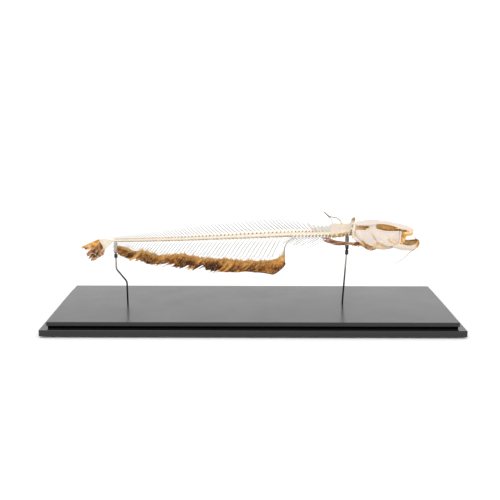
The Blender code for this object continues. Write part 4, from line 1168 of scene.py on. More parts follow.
def build_dorsal_fin():
    """The stem that leans forward from the crest, with its strut and the bunch of dried rays at its tip."""
    stem = Shape()
    front = [(181.6, 0, 197.6), (180.2, 0, 201), (177.5, 0, 205), (171.5, 0, 209.4), (161.5, 0, 211.2),
             (155, 0, 212.6)]
    strand(stem, front, 26, (0.9, 0.7), (1.25, 1.0), stain=(0.3, 0.0))
    strand(stem, [(162.6, 0, 197.6), (160.8, 0, 205), (156.6, 0, 211.8)], 14, 0.42, (0.65, 0.5), stain=0.1)
    stem.place("dorsal_fin_stem", THIN_BONE_PAINTED_SHADE, "dried_skin", "dorsal_fin")
    shape = Shape()
    for _ in range(9):
        y = rng.uniform(-0.75, 0.75)
        end = rng.uniform(0.72, 1.0)
        root = np.array([158.2 - rng.uniform(0, 1.4), 0.6 * y, 209.9 + rng.uniform(0, 1.4)])
        tip = np.array([142.8 + rng.uniform(0, 1.8), 1.5 * y, 223.8 - rng.uniform(0, 1.6)])
        middle = (root + tip) / 2 + (-0.6, 0.3 * y, 0.2 + rng.uniform(-0.4, 0.4))
        tip = root + (tip - root) * end
        strand(shape, [root, middle * 0.5 + (root + tip) * 0.25, tip], 12, (0.7, 0.3), (1.1, 0.45),
               stain=(0.6, 1.0))
    shape.place("dorsal_fin_rays", SKIN_PAINT, "dried_skin")


RIGHT_FIN = ((214.5, 168, 158.8), (207, 168, 158.5), (200, 166.8, 160.8), (194, 167.2, 161.6), (186, 168.8, 160.6),
             (176, 169.8, 160.2), (166, 171.6, 160.4), (157, 174.6, 162.6), (148, 177.8, 165.4),
             (137.5, 177.4, 172.2))
LEFT_FIN = ((214, 173.4, 164.8), (204, 174.2, 164.6), (194, 172.8, 164.2), (182, 170.4, 163.4), (169, 168.4, 162.4),
            (152, 167.6, 164.4))
FLAKE = np.array([0.3, 0.8, 1, 1, 0.9, 0.7, 0.45, 0.12])


def build_pectoral_fin(side, table, name, seed):
    """A stout spine with soft rays dried on to it, torn skin between them and many loose flakes."""
    table = np.array(table)[::-1]
    top = through(*table[:, (0, 1)])
    low = through(*table[:, (0, 2)])
    x0, x1 = table[-1, 0], table[0, 0]
    shape = Shape()
    t = steps(44)

    def place(x, share, out=0.0):
        z = top(x) + (low(x) - top(x)) * (0.07 + 0.86 * share)
        root = clamp((x - (x0 - 9)) / 9) ** 2
        z = z + (163.6 - z) * 0.55 * root
        y = 41.2 + 1.0 * np.sin(x / 4 + 3 * share) - 2.5 * share + out
        y = y + 0.8 * noise3(np.stack([x, z, 0 * x + 9 * share], 1), 7, seed + 1)
        return np.stack([x, side * y, z], 1)

    for k in range(24):
        share = k / 23 if k else 0.03
        stout = k in (1, 2)
        end = 1.0 if k < 4 else rng.uniform(0.55, 1.0)
        x = x0 - rng.uniform(0, 2.5) + (x1 - x0 + 1) * t * end
        drift = share + rng.uniform(-0.10, 0.10) * np.sin(2.2 * t + rng.uniform(0, 6))
        path = place(x, clamp(drift), rng.uniform(-0.8, 0.7))
        thick = 0.95 if stout else rng.uniform(0.26, 0.5)
        dark = clamp(0.42 + 0.6 * fractal(path, 8, seed + 2) + rng.uniform(-0.2, 0.25))
        tube(shape, path, (thick, 0.14), (thick * 1.15, 0.18), sides=7, stain=dark)
    x = x0 + (x1 - x0) * t
    shares = np.linspace(0.02, 0.98, 26)
    grid = np.stack([place(x, 0 * x + share) for share in shares], 1)
    grid[:, :, 1] += side * (0.9 * fractal(grid, 4, seed + 3))
    holes = fractal(grid * (0.5, 1, 1), 4.5, seed + 4)[:-1, :-1] > 0.34 - 0.30 * t[:-1, None]
    dark = np.clip(0.48 + 0.85 * fractal(grid * (0.6, 1, 1), 6, seed + 5), 0.02, 1)
    shell(shape, grid, 0.4, stain=dark, holes=holes)
    for _ in range(120):
        fx = rng.uniform(x1 + 8, x0)
        length = rng.uniform(4, 13)
        xs = np.linspace(fx, max(fx - length, x1 + 1), 8)
        share = clamp(rng.uniform(-0.05, 1.05) + np.linspace(0, rng.uniform(-0.25, 0.25), 8))
        flake = place(xs, share, rng.choice((-1, 1)) * rng.uniform(0.2, 1.2))
        flake[:, 1] += side * np.linspace(0, rng.uniform(-0.8, 0.9), 8)
        wide = rng.uniform(0.25, 0.85)
        tube(shape, flake, [0.1, 0.2, 0.2, 0.2, 0.18, 0.16, 0.1, 0.04], FLAKE * wide, sides=6,
             stain=rng.uniform(0.0, 0.85))
    root = Shape()
    for _ in range(30):
        rearmost = 202 if side < 0 else 212  # behind this, the near fin's root hides the far one
        a = np.array([rng.uniform(rearmost, 217.5), side * rng.uniform(38.4, 43.2), rng.uniform(158.6, 165.4)])
        b = a + (rng.uniform(-5, 3), rng.uniform(-1.2, 1.2), rng.uniform(-1.5, 1.5))
        wide = rng.uniform(0.7, 1.5)
        thick = np.array([0.4, 0.9, 1, 1, 0.8, 0.4]) * wide
        strand(root, [a, (a + b) / 2 + (0, 0, 0.4), b], 6, thick * 0.7, thick, sides=9,
               stain=rng.uniform(0.15, 0.75))
    shape.place(name + "_dried", PADDLE_PAINT, "dried_fin", name)
    root.place(name + "_root", FIN_PAINT, "dried_fin")


# ---- skull -------------------------------------------------------------------------------------------------
roof_wide = through(
    (202.6, 2.4), (207, 5.6), (213, 12), (217, 17.5), (229, 21.5), (243, 22.5), (254, 20.5), (266, 14.6),
    (282, 13.5), (290, 15.5), (296, 19.5), (301, 19), (306, 16), (315, 12.5), (323, 11), (329, 7.2),
)
roof_ridge = through(
    (202.6, 198.2), (210, 200.6), (217, 202.2), (229, 203.6), (243, 204.6), (254, 204.8), (266, 203.5),
    (282, 201.2), (296, 198.3), (305, 196.2), (315, 193.7), (323, 190.4), (329, 186.4),
)
roof_edge = through(
    (202.6, 197.2), (210, 198.0), (217, 197.8), (229, 198.8), (243, 200.6), (254, 201.9), (266, 200.2),
    (276, 197.9), (284, 196.0), (296, 192.4), (305, 189.4), (315, 186.7), (323, 185.0), (329, 184),
)
ROOF_SEAMS = (((296, 0), (290, 18)), ((258, 0), (254, 19)), ((224, 0), (220, 16)), ((254, 14), (222, 11)),
              ((312, 0), (309, 13)))
ROOF_CENTRES = ((246, 15), (228, 13), (276, 9), (304, 9), (236, 0))  # where the bones' fine rays start


def build_braincase():
    """The sculpted skull roof with its midline slit, the closed case under it, and the snout."""
    shape = Shape()
    xs = np.linspace(203, 328.6, 96)
    wide, ridge, edge = roof_wide(xs), roof_ridge(xs), roof_edge(xs)
    grid = [np.stack([xs, a * (wide - 0.8), ridge - 1.0 - (ridge - edge) * abs(a) ** 2.3], 1)
            for a in np.linspace(-1, 1, 41)]
    shell(shape, np.stack(grid, 1), 1.9)
    stations = ((206.5, 4.5, 187.5, 10), (212, 6.5, 187, 11), (219, 10.5, 186.6, 13), (229, 13, 186.6, 13.6),
                (240, 12.2, 187.8, 13), (250, 9.6, 189.6, 11.8), (258, 7.4, 190.4, 10.2), (268, 6.4, 190.6, 9.4),
                (282, 6.6, 189.8, 9), (294, 9.0, 188.2, 7.6), (304, 10.5, 187.4, 6.2), (314, 9.4, 186.6, 5.0),
                (322, 8.0, 184.9, 4.2), (326.4, 5.4, 184.0, 3.3))
    case = spline(stations, 60)
    tube(shape, np.stack([case[:, 0], case[:, 0] * 0, case[:, 2]], 1), case[:, 1], case[:, 3], sides=24)
    for side in (-1, 1):
        wing = on_side(side, (292, 7, 188.5), (295, 12, 190), (297.5, 18.4, 190.9))
        strand(shape, wing, 10, (5.5, 3.4), (2.6, 1.4), sides=12, ref=(1, 0, 0))
        shelf = on_side(side, (211, 10.5, 196.2), (219, 14.6, 195.7), (231, 17.0, 195.9), (241, 18.6, 198.0),
                        (250, 18.4, 199.6))
        strand(shape, shelf, 24, (1.9, 1.2), (1.9, 1.1), sides=10)
        strut = on_side(side, (301, 18.2, 190.2), (308, 15.4, 188.6), (316, 11.8, 186.6), (322.5, 8.6, 185.4),
                        (326.6, 5.2, 183.8))
        strand(shape, strut, 20, (1.7, 1.2), (1.3, 1.1), sides=10)
    strand(shape, [(206.4, 0, 195.8), (204.6, 0, 196.4), (203, 0, 197)], 5, 1.5, 1.2)

    def relief(p, n):
        up = clamp(n[:, 2])
        slit = (near(p, (262, 0, 202.8), (292, 0, 198.2), 2.6) * 2.6
                + near(p, (226, 0, 202.4), (240, 0, 203.4), 1.9) * 1.6)
        seams = 0.0
        for a, b in ROOF_SEAMS:
            for s in (-1, 1):
                z = float(roof_ridge(a[0])) - 0.6
                wob = p + np.stack([0.7 * noise3(p, 2.4, 21), 0.7 * noise3(p, 2.4, 22), 0 * p[:, 0]], 1)
                seams = seams + near(wob, (a[0], s * a[1], z), (b[0], s * b[1], z - 2.5), 2.9) ** 3
        rays = 0.0
        for cx, cy in ROOF_CENTRES:
            for s in (-1, 1):
                dx, dy = p[:, 0] - cx, p[:, 1] - s * cy
                far = np.hypot(dx, dy)
                rays = rays + np.cos(np.arctan2(dy, dx) * 26) * np.exp(-(((far - 7) / 5) ** 2))
        pits = clamp(noise3(p, 1.5, 25) - 0.35)
        body = 0.34 * fractal(p, 9, 24) + 0.14 * fractal(p, 2.5, 26)
        return body + up * (-slit - 0.5 * clamp(seams) + 0.13 * rays - 0.4 * pits)

    def stain(p, n):
        x, y, z = p.T
        inside = np.clip((np.abs(y) - 3.0) / 2, 0.6, 1) * (np.abs(y) < np.where(n[:, 2] < 0.1, 19.5, 15))
        side = clamp(1.5 - n[:, 2] * 1.6)
        front = (x > 250) & (x < 300.5) & (z < 198.6) & (z > 176)
        rear = (x > 212) & (x < 237) & (z < 196.6)
        golden = np.where(front, 0.37 + 0.12 * falling(x, 262, 9) + 0.06 * falling(z, 189, 4)
                          + 0.08 * noise3(p, 3.4, 28), 0)
        golden = golden + np.where(rear, 0.28 + 0.32 * np.exp(-(((x - 231) / 5) ** 2)), 0)
        crease = (0.42 * near(p, (305.5, -14.5, 187.6), (319, -9.5, 184.6), 2.6)
                  + 0.42 * near(p, (305.5, 14.5, 187.6), (319, 9.5, 184.6), 2.6))
        snout = 0.20 * rising(x, 303, 6) * falling(z, 190.5, 4) + 0.12 * rising(x, 318, 6)
        slit = 0.5 * (near(p, (262, 0, 202.8), (292, 0, 198.2), 2.4) > 0.35)
        brow = (0.18 * near(p, (296, -17, 192), (312, -13, 189), 5)
                + 0.18 * near(p, (252, -19, 199.5), (276, -13, 197), 2.2))
        nape = (0.15 * near(p, (214, -15, 197.5), (232, -19, 198.5), 4)
                + 0.12 * near(p, (214, 15, 197.5), (232, 19, 198.5), 4))
        return (0.03 + golden * side * inside + np.maximum(snout, crease) + slit + brow + nape
                + 0.07 * fractal(p, 10, 27))

    placed(sculpt(shape, "skull_roof_and_case", SKULL_PAINT, 0.5, relief, stain, 3), "bone", "braincase")


def cone_teeth(shape, path, rows, step, tall, sign, stain=0.3):
    """Bands of fine pointed teeth on a pad."""
    for k, centre in enumerate(path[1:-1]):
        along = unit(path[k + 2] - path[k])
        out = unit(np.cross(along, (0, 0, 1)))
        for r in range(rows):
            for _ in range(step):
                root = (centre + out * (r - (rows - 1) / 2) * 0.72 + along * rng.uniform(-0.7, 0.7)
                        + out * rng.uniform(-0.25, 0.25))
                height = tall * rng.uniform(0.7, 1.15)
                bend = out * rng.uniform(-0.1, 0.3)
                tube(shape, [root, root + (0, 0, 0.55 * sign * height) + 0.4 * bend * height,
                             root + (0, 0, sign * height) + bend * height],
                     [0.22, 0.15, 0.04], sides=5, stain=stain + rng.uniform(-0.1, 0.1))


def both_halves(half):
    """A row of (x, y, z, half width, half depth) up to the middle, carried on down the other side."""
    return list(half) + [(x, -y, z, a, b) for x, y, z, a, b in reversed(half[:-1])]


def build_upper_jaw():
    """The arch that bears the teeth, the snout over it, and the prongs behind its ends."""
    half = ((304.0, -25.2, 179.8, 2.9, 1.4), (311, -22.8, 180.9, 4.7, 2.1), (318.5, -17.4, 180.8, 4.9, 2.5),
            (324.0, -10.4, 179.2, 4.0, 2.8), (326.2, 0, 178.3, 3.5, 2.9))
    p = spline(both_halves(half), 60)
    shape = Shape()
    tube(shape, p[:, :3], p[:, 3] * 0.94, p[:, 4] * 0.92, sides=18, ref=(0, 0, 1))
    pad = p[4:-4, :3] * (1, 0.9, 1) - np.stack([np.full(52, 1.8), np.zeros(52), p[4:-4, 3] * 0.66], 1)
    tube(shape, pad, 0.9, 2.1, sides=10, ref=(0, 0, 1))
    nose = ((312.5, -17.6, 185.2, 2.0, 1.4), (318.5, -13.6, 184.6, 2.5, 1.9), (324.0, -8.0, 184.0, 3.0, 2.4),
            (326.6, 0, 183.5, 3.2, 2.6))
    n = spline(both_halves(nose), 40)
    tube(shape, n[:, :3], n[:, 3], n[:, 4], sides=16, ref=(0, 0, 1))
    for side in (-1, 1):
        prong = on_side(side, (310, 17.5, 182.2), (307, 13, 183.0), (303.6, 10.5, 182.6))
        strand(shape, prong, 8, 1.3, 1.7, sides=8)
        tail = on_side(side, (305.5, 24.6, 179.8), (301.8, 25.8, 178.6), (299.6, 26.6, 176.4))
        strand(shape, tail, 8, (2.0, 1.1), (1.2, 0.8), sides=10, ref=(0, 0, 1))

    def relief(q, n):
        return 0.30 * fractal(q, 5, 71) + 0.12 * np.sin(q[:, 0] * 2.2 + q[:, 1]) * (n[:, 2] > 0)

    def stain(q, n):
        lower = falling(q[:, 2], 183.0, 2.4)
        rear = falling(q[:, 0], 309, 5)
        crease = np.exp(-(((q[:, 2] - 185.6 + 0.10 * (q[:, 0] - 312)) / 1.3) ** 2)) * falling(q[:, 0], 322, 6)
        return 0.22 + 0.24 * lower + 0.10 * rear + 0.26 * crease + 0.10 * fractal(q, 4.5, 72)

    placed(sculpt(shape, "upper_jaw_arch", SKULL_PAINT, 0.42, relief, stain, 3), "golden_bone", "upper_jaw")
    teeth = Shape()
    cone_teeth(teeth, pad[2:-2] - (0, 0, 0.8), 5, 3, 0.75, -1)
    teeth.place("upper_teeth", SKULL_PAINT, "golden_bone")


JAW = ((342.4, 0.4, 158.0, 4.9, 2.2), (339.4, -8, 156.6, 4.9, 2.2), (333.5, -16, 153.8, 4.9, 2.2),
       (322, -23, 151.6, 5.0, 2.0), (309, -27.5, 152.9, 5.3, 1.9), (301, -29.6, 155.2, 6.1, 2.0),
       (295, -31.0, 156.6, 5.9, 1.9), (289.2, -31.8, 156.4, 4.2, 1.7), (283.4, -31.6, 155.6, 2.2, 1.3))
JAW_PORES = ((336, -16.6, 153), (328, -22.6, 151.5), (319, -26.6, 151), (309, -29.8, 152))


def build_lower_jaw():
    """Each half of the jaw: a deep curved blade with a chewed-looking tooth band, pores and a raised joint."""
    p = spline(JAW, 50)
    p[0, 1] = -0.25
    right = Shape()
    tube(right, p[:, :3], p[:, 3], p[:, 4] * 0.86, sides=20, ref=(0, 0, 1))
    top = p[1:30, :3] + np.stack([-0.9 * np.ones(29), 1.2 + 0 * p[1:30, 0], p[1:30, 3] * 0.80], 1)
    tube(right, top, 1.1, (2.4, 1.6), sides=10, ref=(0, 0, 1))
    strand(right, [(293, -31.2, 160.5), (296.5, -30.6, 164.6), (299, -29.9, 165.4), (303, -29.2, 162.4)], 10, 1.5,
           [1.2, 1.5, 1.6, 1.7, 1.7, 1.6, 1.5, 1.4, 1.3, 1.1])
    strand(right, [(297, -30.6, 150.8), (306, -28.4, 148.6), (318, -25.2, 147.8)], 12, 1.1, 0.9)

    def relief(q, n):
        outer = clamp(-n[:, 1])
        pores = sum(near(q, (x, y, z), (x - 1.2, y + 0.6, z), 1.5) for x, y, z in JAW_PORES)
        grooves = 0.16 * np.sin(q[:, 2] * 2.1 + 0.22 * q[:, 0]) * outer
        return 0.24 * fractal(q, 6, 81) + grooves - 1.0 * pores

    def stain(q, n):
        tip = rising(q[:, 0], 329, 9)
        upper = rising(q[:, 2], 158.6, 3)
        inner = clamp(n[:, 1] * 1.2 - 0.1 - n[:, 0] * 0.7)
        low = 0.12 * falling(q[:, 2], 151.5, 3)
        band = np.where(q[:, 0] > 304, upper * 0.40, upper * 0.12)
        return 0.11 + np.maximum.reduce([tip * 0.60, band, inner * 0.56]) + low + 0.14 * fractal(q, 6, 82)

    left = mirrored(right)
    high = (top + np.array([0, 0, 1.0]) + np.outer(clamp(np.arange(29) / 5), (0, 0, 1.5))) * (1, -1, 1)
    tube(left, high, 1.1, (2.4, 2.0), sides=10, ref=(0, 0, 1))
    sculpt_pair(right, left, "jaw_blade_", "lower_jaw_", SKULL_PAINT, 0.42, relief, stain, 2)
    teeth = Shape()
    cone_teeth(teeth, top[1:-2] + (0, 0, 1.0), 4, 2, 1.0, 1, 0.34)
    cone_teeth(teeth, high[1:-2] + (0, 0, 1.0), 4, 2, 1.0, 1, 0.34)
    teeth.place("lower_teeth", SKULL_PAINT, "golden_bone")
    floor = Shape()
    grid = np.zeros((26, 22, 3))
    line = p[2:28]
    for i in range(26):
        for j, a in enumerate(np.linspace(-1, 1, 22)):
            x, y = line[i, 0] - 2.2, (abs(line[i, 1]) - 1.6) * a
            grid[i, j] = (x - 2.0 * (1 - a * a), y, 151.8 + (4.0 + 2.6 * (a > 0)) * abs(a) ** 2.4
                          + 0.09 * (x - 320))
    grid[:, :, 2] += 0.8 * fractal(grid, 6, 91)
    shell(floor, grid, 0.5, stain=np.clip(0.56 + 0.4 * fractal(grid, 7, 92), 0.1, 1))
    floor.place("mouth_floor_skin", NECK_PAINT, "dried_skin")


def build_cheek():
    """The fused plate of the cheek: ridges, a thin translucent hollow, and the joint for the lower jaw."""
    stations = ((228, 190.6, 187.0), (233, 191.6, 182.0), (240, 193.6, 172), (247, 192.8, 164.6), (252, 190.6, 162),
                (257, 189.4, 159.6), (262, 188.2, 157.4), (268, 186.9, 155.8), (275, 186.5, 155.2),
                (284, 186.6, 156.8), (290, 186.6, 159.6), (296, 186.6, 163.6))
    table = np.array(stations)
    top, low = through(*table[:, (0, 1)]), through(*table[:, (0, 2)])
    xs = np.linspace(228.4, 295.8, 70)
    w = 1 / (1 + np.exp(-(xs - 254) / 4))
    grid = np.zeros((70, 40, 3))
    for j, s in enumerate(steps(40)):
        rear, fore = -17.2 - 11 * min(1, s * 1.6), -21 - 7.5 * s
        y = rear * (1 - w) + fore * w - 1.2 * math.sin(math.pi * s)
        grid[:, j] = np.stack([xs, y, top(xs) + (low(xs) - top(xs)) * s], 1)
    right = Shape()
    shell(right, grid, 1.6)
    strand(right, [(272, -29.2, 157.4), (281, -29.8, 158.6), (290.0, -30.0, 162.0)], 24, (2.4, 1.9), 1.3, sides=10)
    head = [(243.6, -17.6, 199.2), (243.0, -18.4, 195.5), (242.2, -19.6, 191), (243, -22.0, 185.5)]
    strand(right, head, 12, (6.6, 8.6), (1.2, 1.0), sides=20, ref=(1, 0, 0))
    great = ((232.6, 191.0), (239.6, 184.5), (245.2, 175.6), (250.4, 167.6), (258, 163.0), (266, 159.6),
             (273, 157.6))
    ridges = (
        (great, 3.0, 1.7),
        (((233.6, 190), (238.0, 177.4), (243.6, 171.2), (252, 164.2)), 1.8, 0.9),
        (((244, 191.4), (251, 183.6), (258, 175), (267, 166.5), (276, 160)), 2.6, 0.9),
        (((256, 188.4), (268, 185.4), (284, 184.9), (295, 185.0)), 2.2, 1.0),
        (((295.0, 185.6), (294.8, 176), (294.0, 166.0)), 2.4, 1.0),
        (((262, 181), (272, 178.5), (284, 177.6), (293, 179.0)), 2.4, 0.5),
    )

    def hollow(q):
        return np.exp(-((((q[:, 0] - 285.4 + 0.45 * (q[:, 2] - 168)) / 10.4) ** 2
                         + ((q[:, 2] - 168.0) / 6.2) ** 2) ** 1.6))

    def relief(q, n):
        outer = np.clip(-n[:, 1] * 1.5, -1, 1)
        raised = sum(high * drawn(q, route, reach) for route, reach, high in ridges) * clamp(outer)
        streaks = 0.15 * np.sin((q[:, 2] * 0.8 + q[:, 0] * 0.6) * 2.2 + 1.5 * noise3(q, 6, 101))
        pits = 0.35 * clamp(noise3(q, 2.2, 103) - 0.45)
        return (np.minimum(raised, 1.9) + 0.42 * fractal(q, 6.5, 102) + streaks
                - 0.40 * hollow(q) * clamp(outer) - pits)

    def stain(q, n):
        orange = drawn(q, ((238.6, 186), (245.0, 175.6), (250.4, 168.2), (258, 163.6), (266, 160.6)), 3.2)
        thin = drawn(q, ((233.0, 190.2), (237.4, 177.0), (243.0, 170.6), (248, 167.0)), 1.9)
        fold = drawn(q, ((247, 164.6), (256, 160.6), (264, 158.4)), 2.2)
        rim = (drawn(q, ((228, 191), (236, 193.6), (247, 193.6)), 2.4)
               + drawn(q, ((258, 158.4), (268, 156.6), (278, 156.6)), 3.0))
        edge = drawn(q, ((252, 190.6), (258, 189.4), (268, 187)), 2.0)
        inner = clamp(n[:, 1] - 0.2) * 0.35
        streak = 0.30 * orange + 0.28 * thin + 0.22 * fold
        veins = 0.10 * clamp(noise3(q * (1, 1, 1.6), 3.2, 105))
        ring = 0.34 * np.exp(-(((hollow(q) - 0.45) / 0.22) ** 2)) * clamp((288 - q[:, 0]) / 8 + (166 - q[:, 2]) / 6)
        return (0.03 + (0.30 + 1.0 * veins) * hollow(q) + ring + streak + 0.18 * clamp(rim + edge) + inner
                + 0.10 * fractal(q, 8, 104))

    sculpt_pair(right, mirrored(right), "cheek_plate_", "cheek_", CHEEK_PAINT, 0.42, relief, stain, 3)


def build_gill_cover():
    """The plate behind the cheek, with rays fanning from its upper corner and raised rims in front and on top."""
    stations = ((206, 189.8, 183.6), (211.5, 190.4, 174.4), (219, 190.4, 168.6), (228, 190.2, 162.8),
                (236, 186.2, 159.0), (242, 176, 157.4), (249.4, 165.6, 159.0))
    table = np.array(stations)
    top, low = through(*table[:, (0, 1)]), through(*table[:, (0, 2)])
    xs = np.linspace(206.3, 249.2, 50)
    lower = low(xs) + 0.5 * noise3(on_axis(xs), 3, 115)
    grid = np.zeros((50, 34, 3))
    for j, s in enumerate(steps(34)):
        grid[:, j] = np.stack([xs, 0 * xs - 31.6 - 2.4 * s - np.sin(math.pi * s),
                               top(xs) + (lower - top(xs)) * s], 1)
    right = Shape()
    shell(right, grid, 1.1)

    def relief(q, n):
        far = np.hypot(q[:, 0] - 231, q[:, 2] - 189)
        angle = np.arctan2(q[:, 2] - 189, q[:, 0] - 231)
        rays = 0.18 * np.cos(angle * 30 + 1.2 * noise3(q, 8, 113)) * clamp(far / 18)
        rings = 0.08 * np.cos(far * 1.5)
        rims = (drawn(q, ((229.5, 191.2), (235.4, 184), (241, 174.8), (247.4, 164.6)), 2.4)
                + 0.7 * drawn(q, ((229, 191.6), (218, 191.6), (208, 189.8)), 2.2))
        return rays + rings + 0.9 * rims * clamp(-n[:, 1] * 1.5) + 0.30 * fractal(q, 5.5, 111)

    def stain(q, n):
        edge = rising(q[:, 0], 226, 18) * falling(q[:, 2], 169, 8)
        olive = near(q, (211, -33, 181), (222, -33.5, 171), 5.5) * (0.6 + 0.6 * noise3(q, 3.5, 117))
        rim = near(q, (206.5, -32, 184), (228, -33.8, 163.6), 1.8)
        inner = clamp(n[:, 1] - 0.2) * 0.4
        return 0.05 + 0.22 * edge + 0.24 * clamp(olive) + 0.18 * rim + inner + 0.10 * fractal(q, 7, 112)

    sculpt_pair(right, mirrored(right), "gill_plate_", "gill_cover_", SKULL_PAINT, 0.38, relief, stain, 2)


def build_small_head_bones():
    """Upper lip bones with the skin at the mouth's corner, the throat bar and its rays, and the feelers."""
    for name, side in (("right", -1), ("left", 1)):
        shape = Shape()
        route = on_side(side, (299.2, 25.6, 186.4), (298.4, 27.2, 182), (297.6, 29.0, 176.4), (297.0, 31, 171),
                        (296.6, 32.6, 166.0))
        strand(shape, route, 16, (1.3, 1.0), (1.75, 1.35), sides=12, stain=0.0)
        shape.place("lip_bone_" + name, SKULL_PAINT, "bone", "maxilla_" + name)
        corner_skin(name, side)
        throat(name, side)
    shape = Shape()
    route = [(331.6, -17.6, 150.6), (329.4, -19.4, 147.6), (326, -20.4, 146.0), (321.4, -21, 143.4),
             (313.8, -21, 135.3), (306.3, -20.5, 128.4), (299, -20, 123), (291.6, -19.5, 118.2)]
    path = spline(route, 44)
    path[:, 1] += 0.3 * noise3(path, 6, 5)
    tube(shape, path, np.linspace(0.85, 0.42, 44) * (1 + 0.12 * noise3(path, 1.5, 6)), sides=8, stain=(0.45, 0.25))
    shape.place("chin_feeler", SKIN_PAINT, "dried_skin", "barbel_chin")
    shape = Shape()
    stub = spline([(338.4, 1.5, 163.0), (336.4, 1.5, 165.8), (333.2, 1.5, 169.0), (330.8, 1.5, 171.2)], 16)
    tube(shape, stub, [1.0, 1.1, 1.1, 1.0, 0.9, 0.75, 0.62, 0.55, 0.5, 0.46, 0.42, 0.39, 0.36, 0.33, 0.3, 0.25],
         sides=8, stain=(0.85, 0.3))
    shape.place("jaw_tip_feeler", SKIN_PAINT, "dried_skin", "barbel_tip")


def corner_skin(name, side):
    """The dried skin that hangs between the jaws behind the lip, hollowed at the front."""
    shape = Shape()
    rows, cols = 20, 16
    grid = np.zeros((rows, cols, 3))
    for i, s in enumerate(steps(rows)):
        bay = math.sin(math.pi * s)
        back = np.array([294.6 - 0.5 * s, 22.0 + 5.0 * s, 186.5 - 21.5 * s])
        front = np.array([315.0 - 6.0 * s - 2.6 * bay, 20.4 + 7.8 * s, 180.0 - 16.0 * s])
        for j, u in enumerate(steps(cols)):
            q = back + (front - back) * u
            grid[i, j] = (q[0], side * (q[1] - 1.5 * math.sin(math.pi * u)), q[2])
    grid[:, :, 1] += side * 0.7 * fractal(grid, 4, 131)
    dark = np.clip(0.44 + 0.26 * fractal(grid, 5, 132), 0.2, 1)
    dark *= np.clip((np.arange(cols) - 1.5) / 3.5, 0.12, 1)[None, :]
    shell(shape, grid, 0.5, stain=dark)
    for _ in range(26):
        s = rng.uniform(0, 1)
        i, j = int(s * (rows - 1)), rng.integers(2, cols - 1)
        start = grid[i, j] + (0, side * 0.5, 0)
        middle = start + (rng.uniform(-1, 2), side * 0.5, -1.2)
        end = start + (rng.uniform(-1.5, 2.5), side * 0.4, -rng.uniform(2, 3.6))
        strand(shape, [start, middle, end], 6, 0.2, [0.1, 0.22, 0.26, 0.22, 0.15, 0.05], sides=6,
               stain=rng.uniform(0.3, 0.6))
    shape.place("mouth_corner_skin_" + name, SKULL_PAINT, "dried_skin")


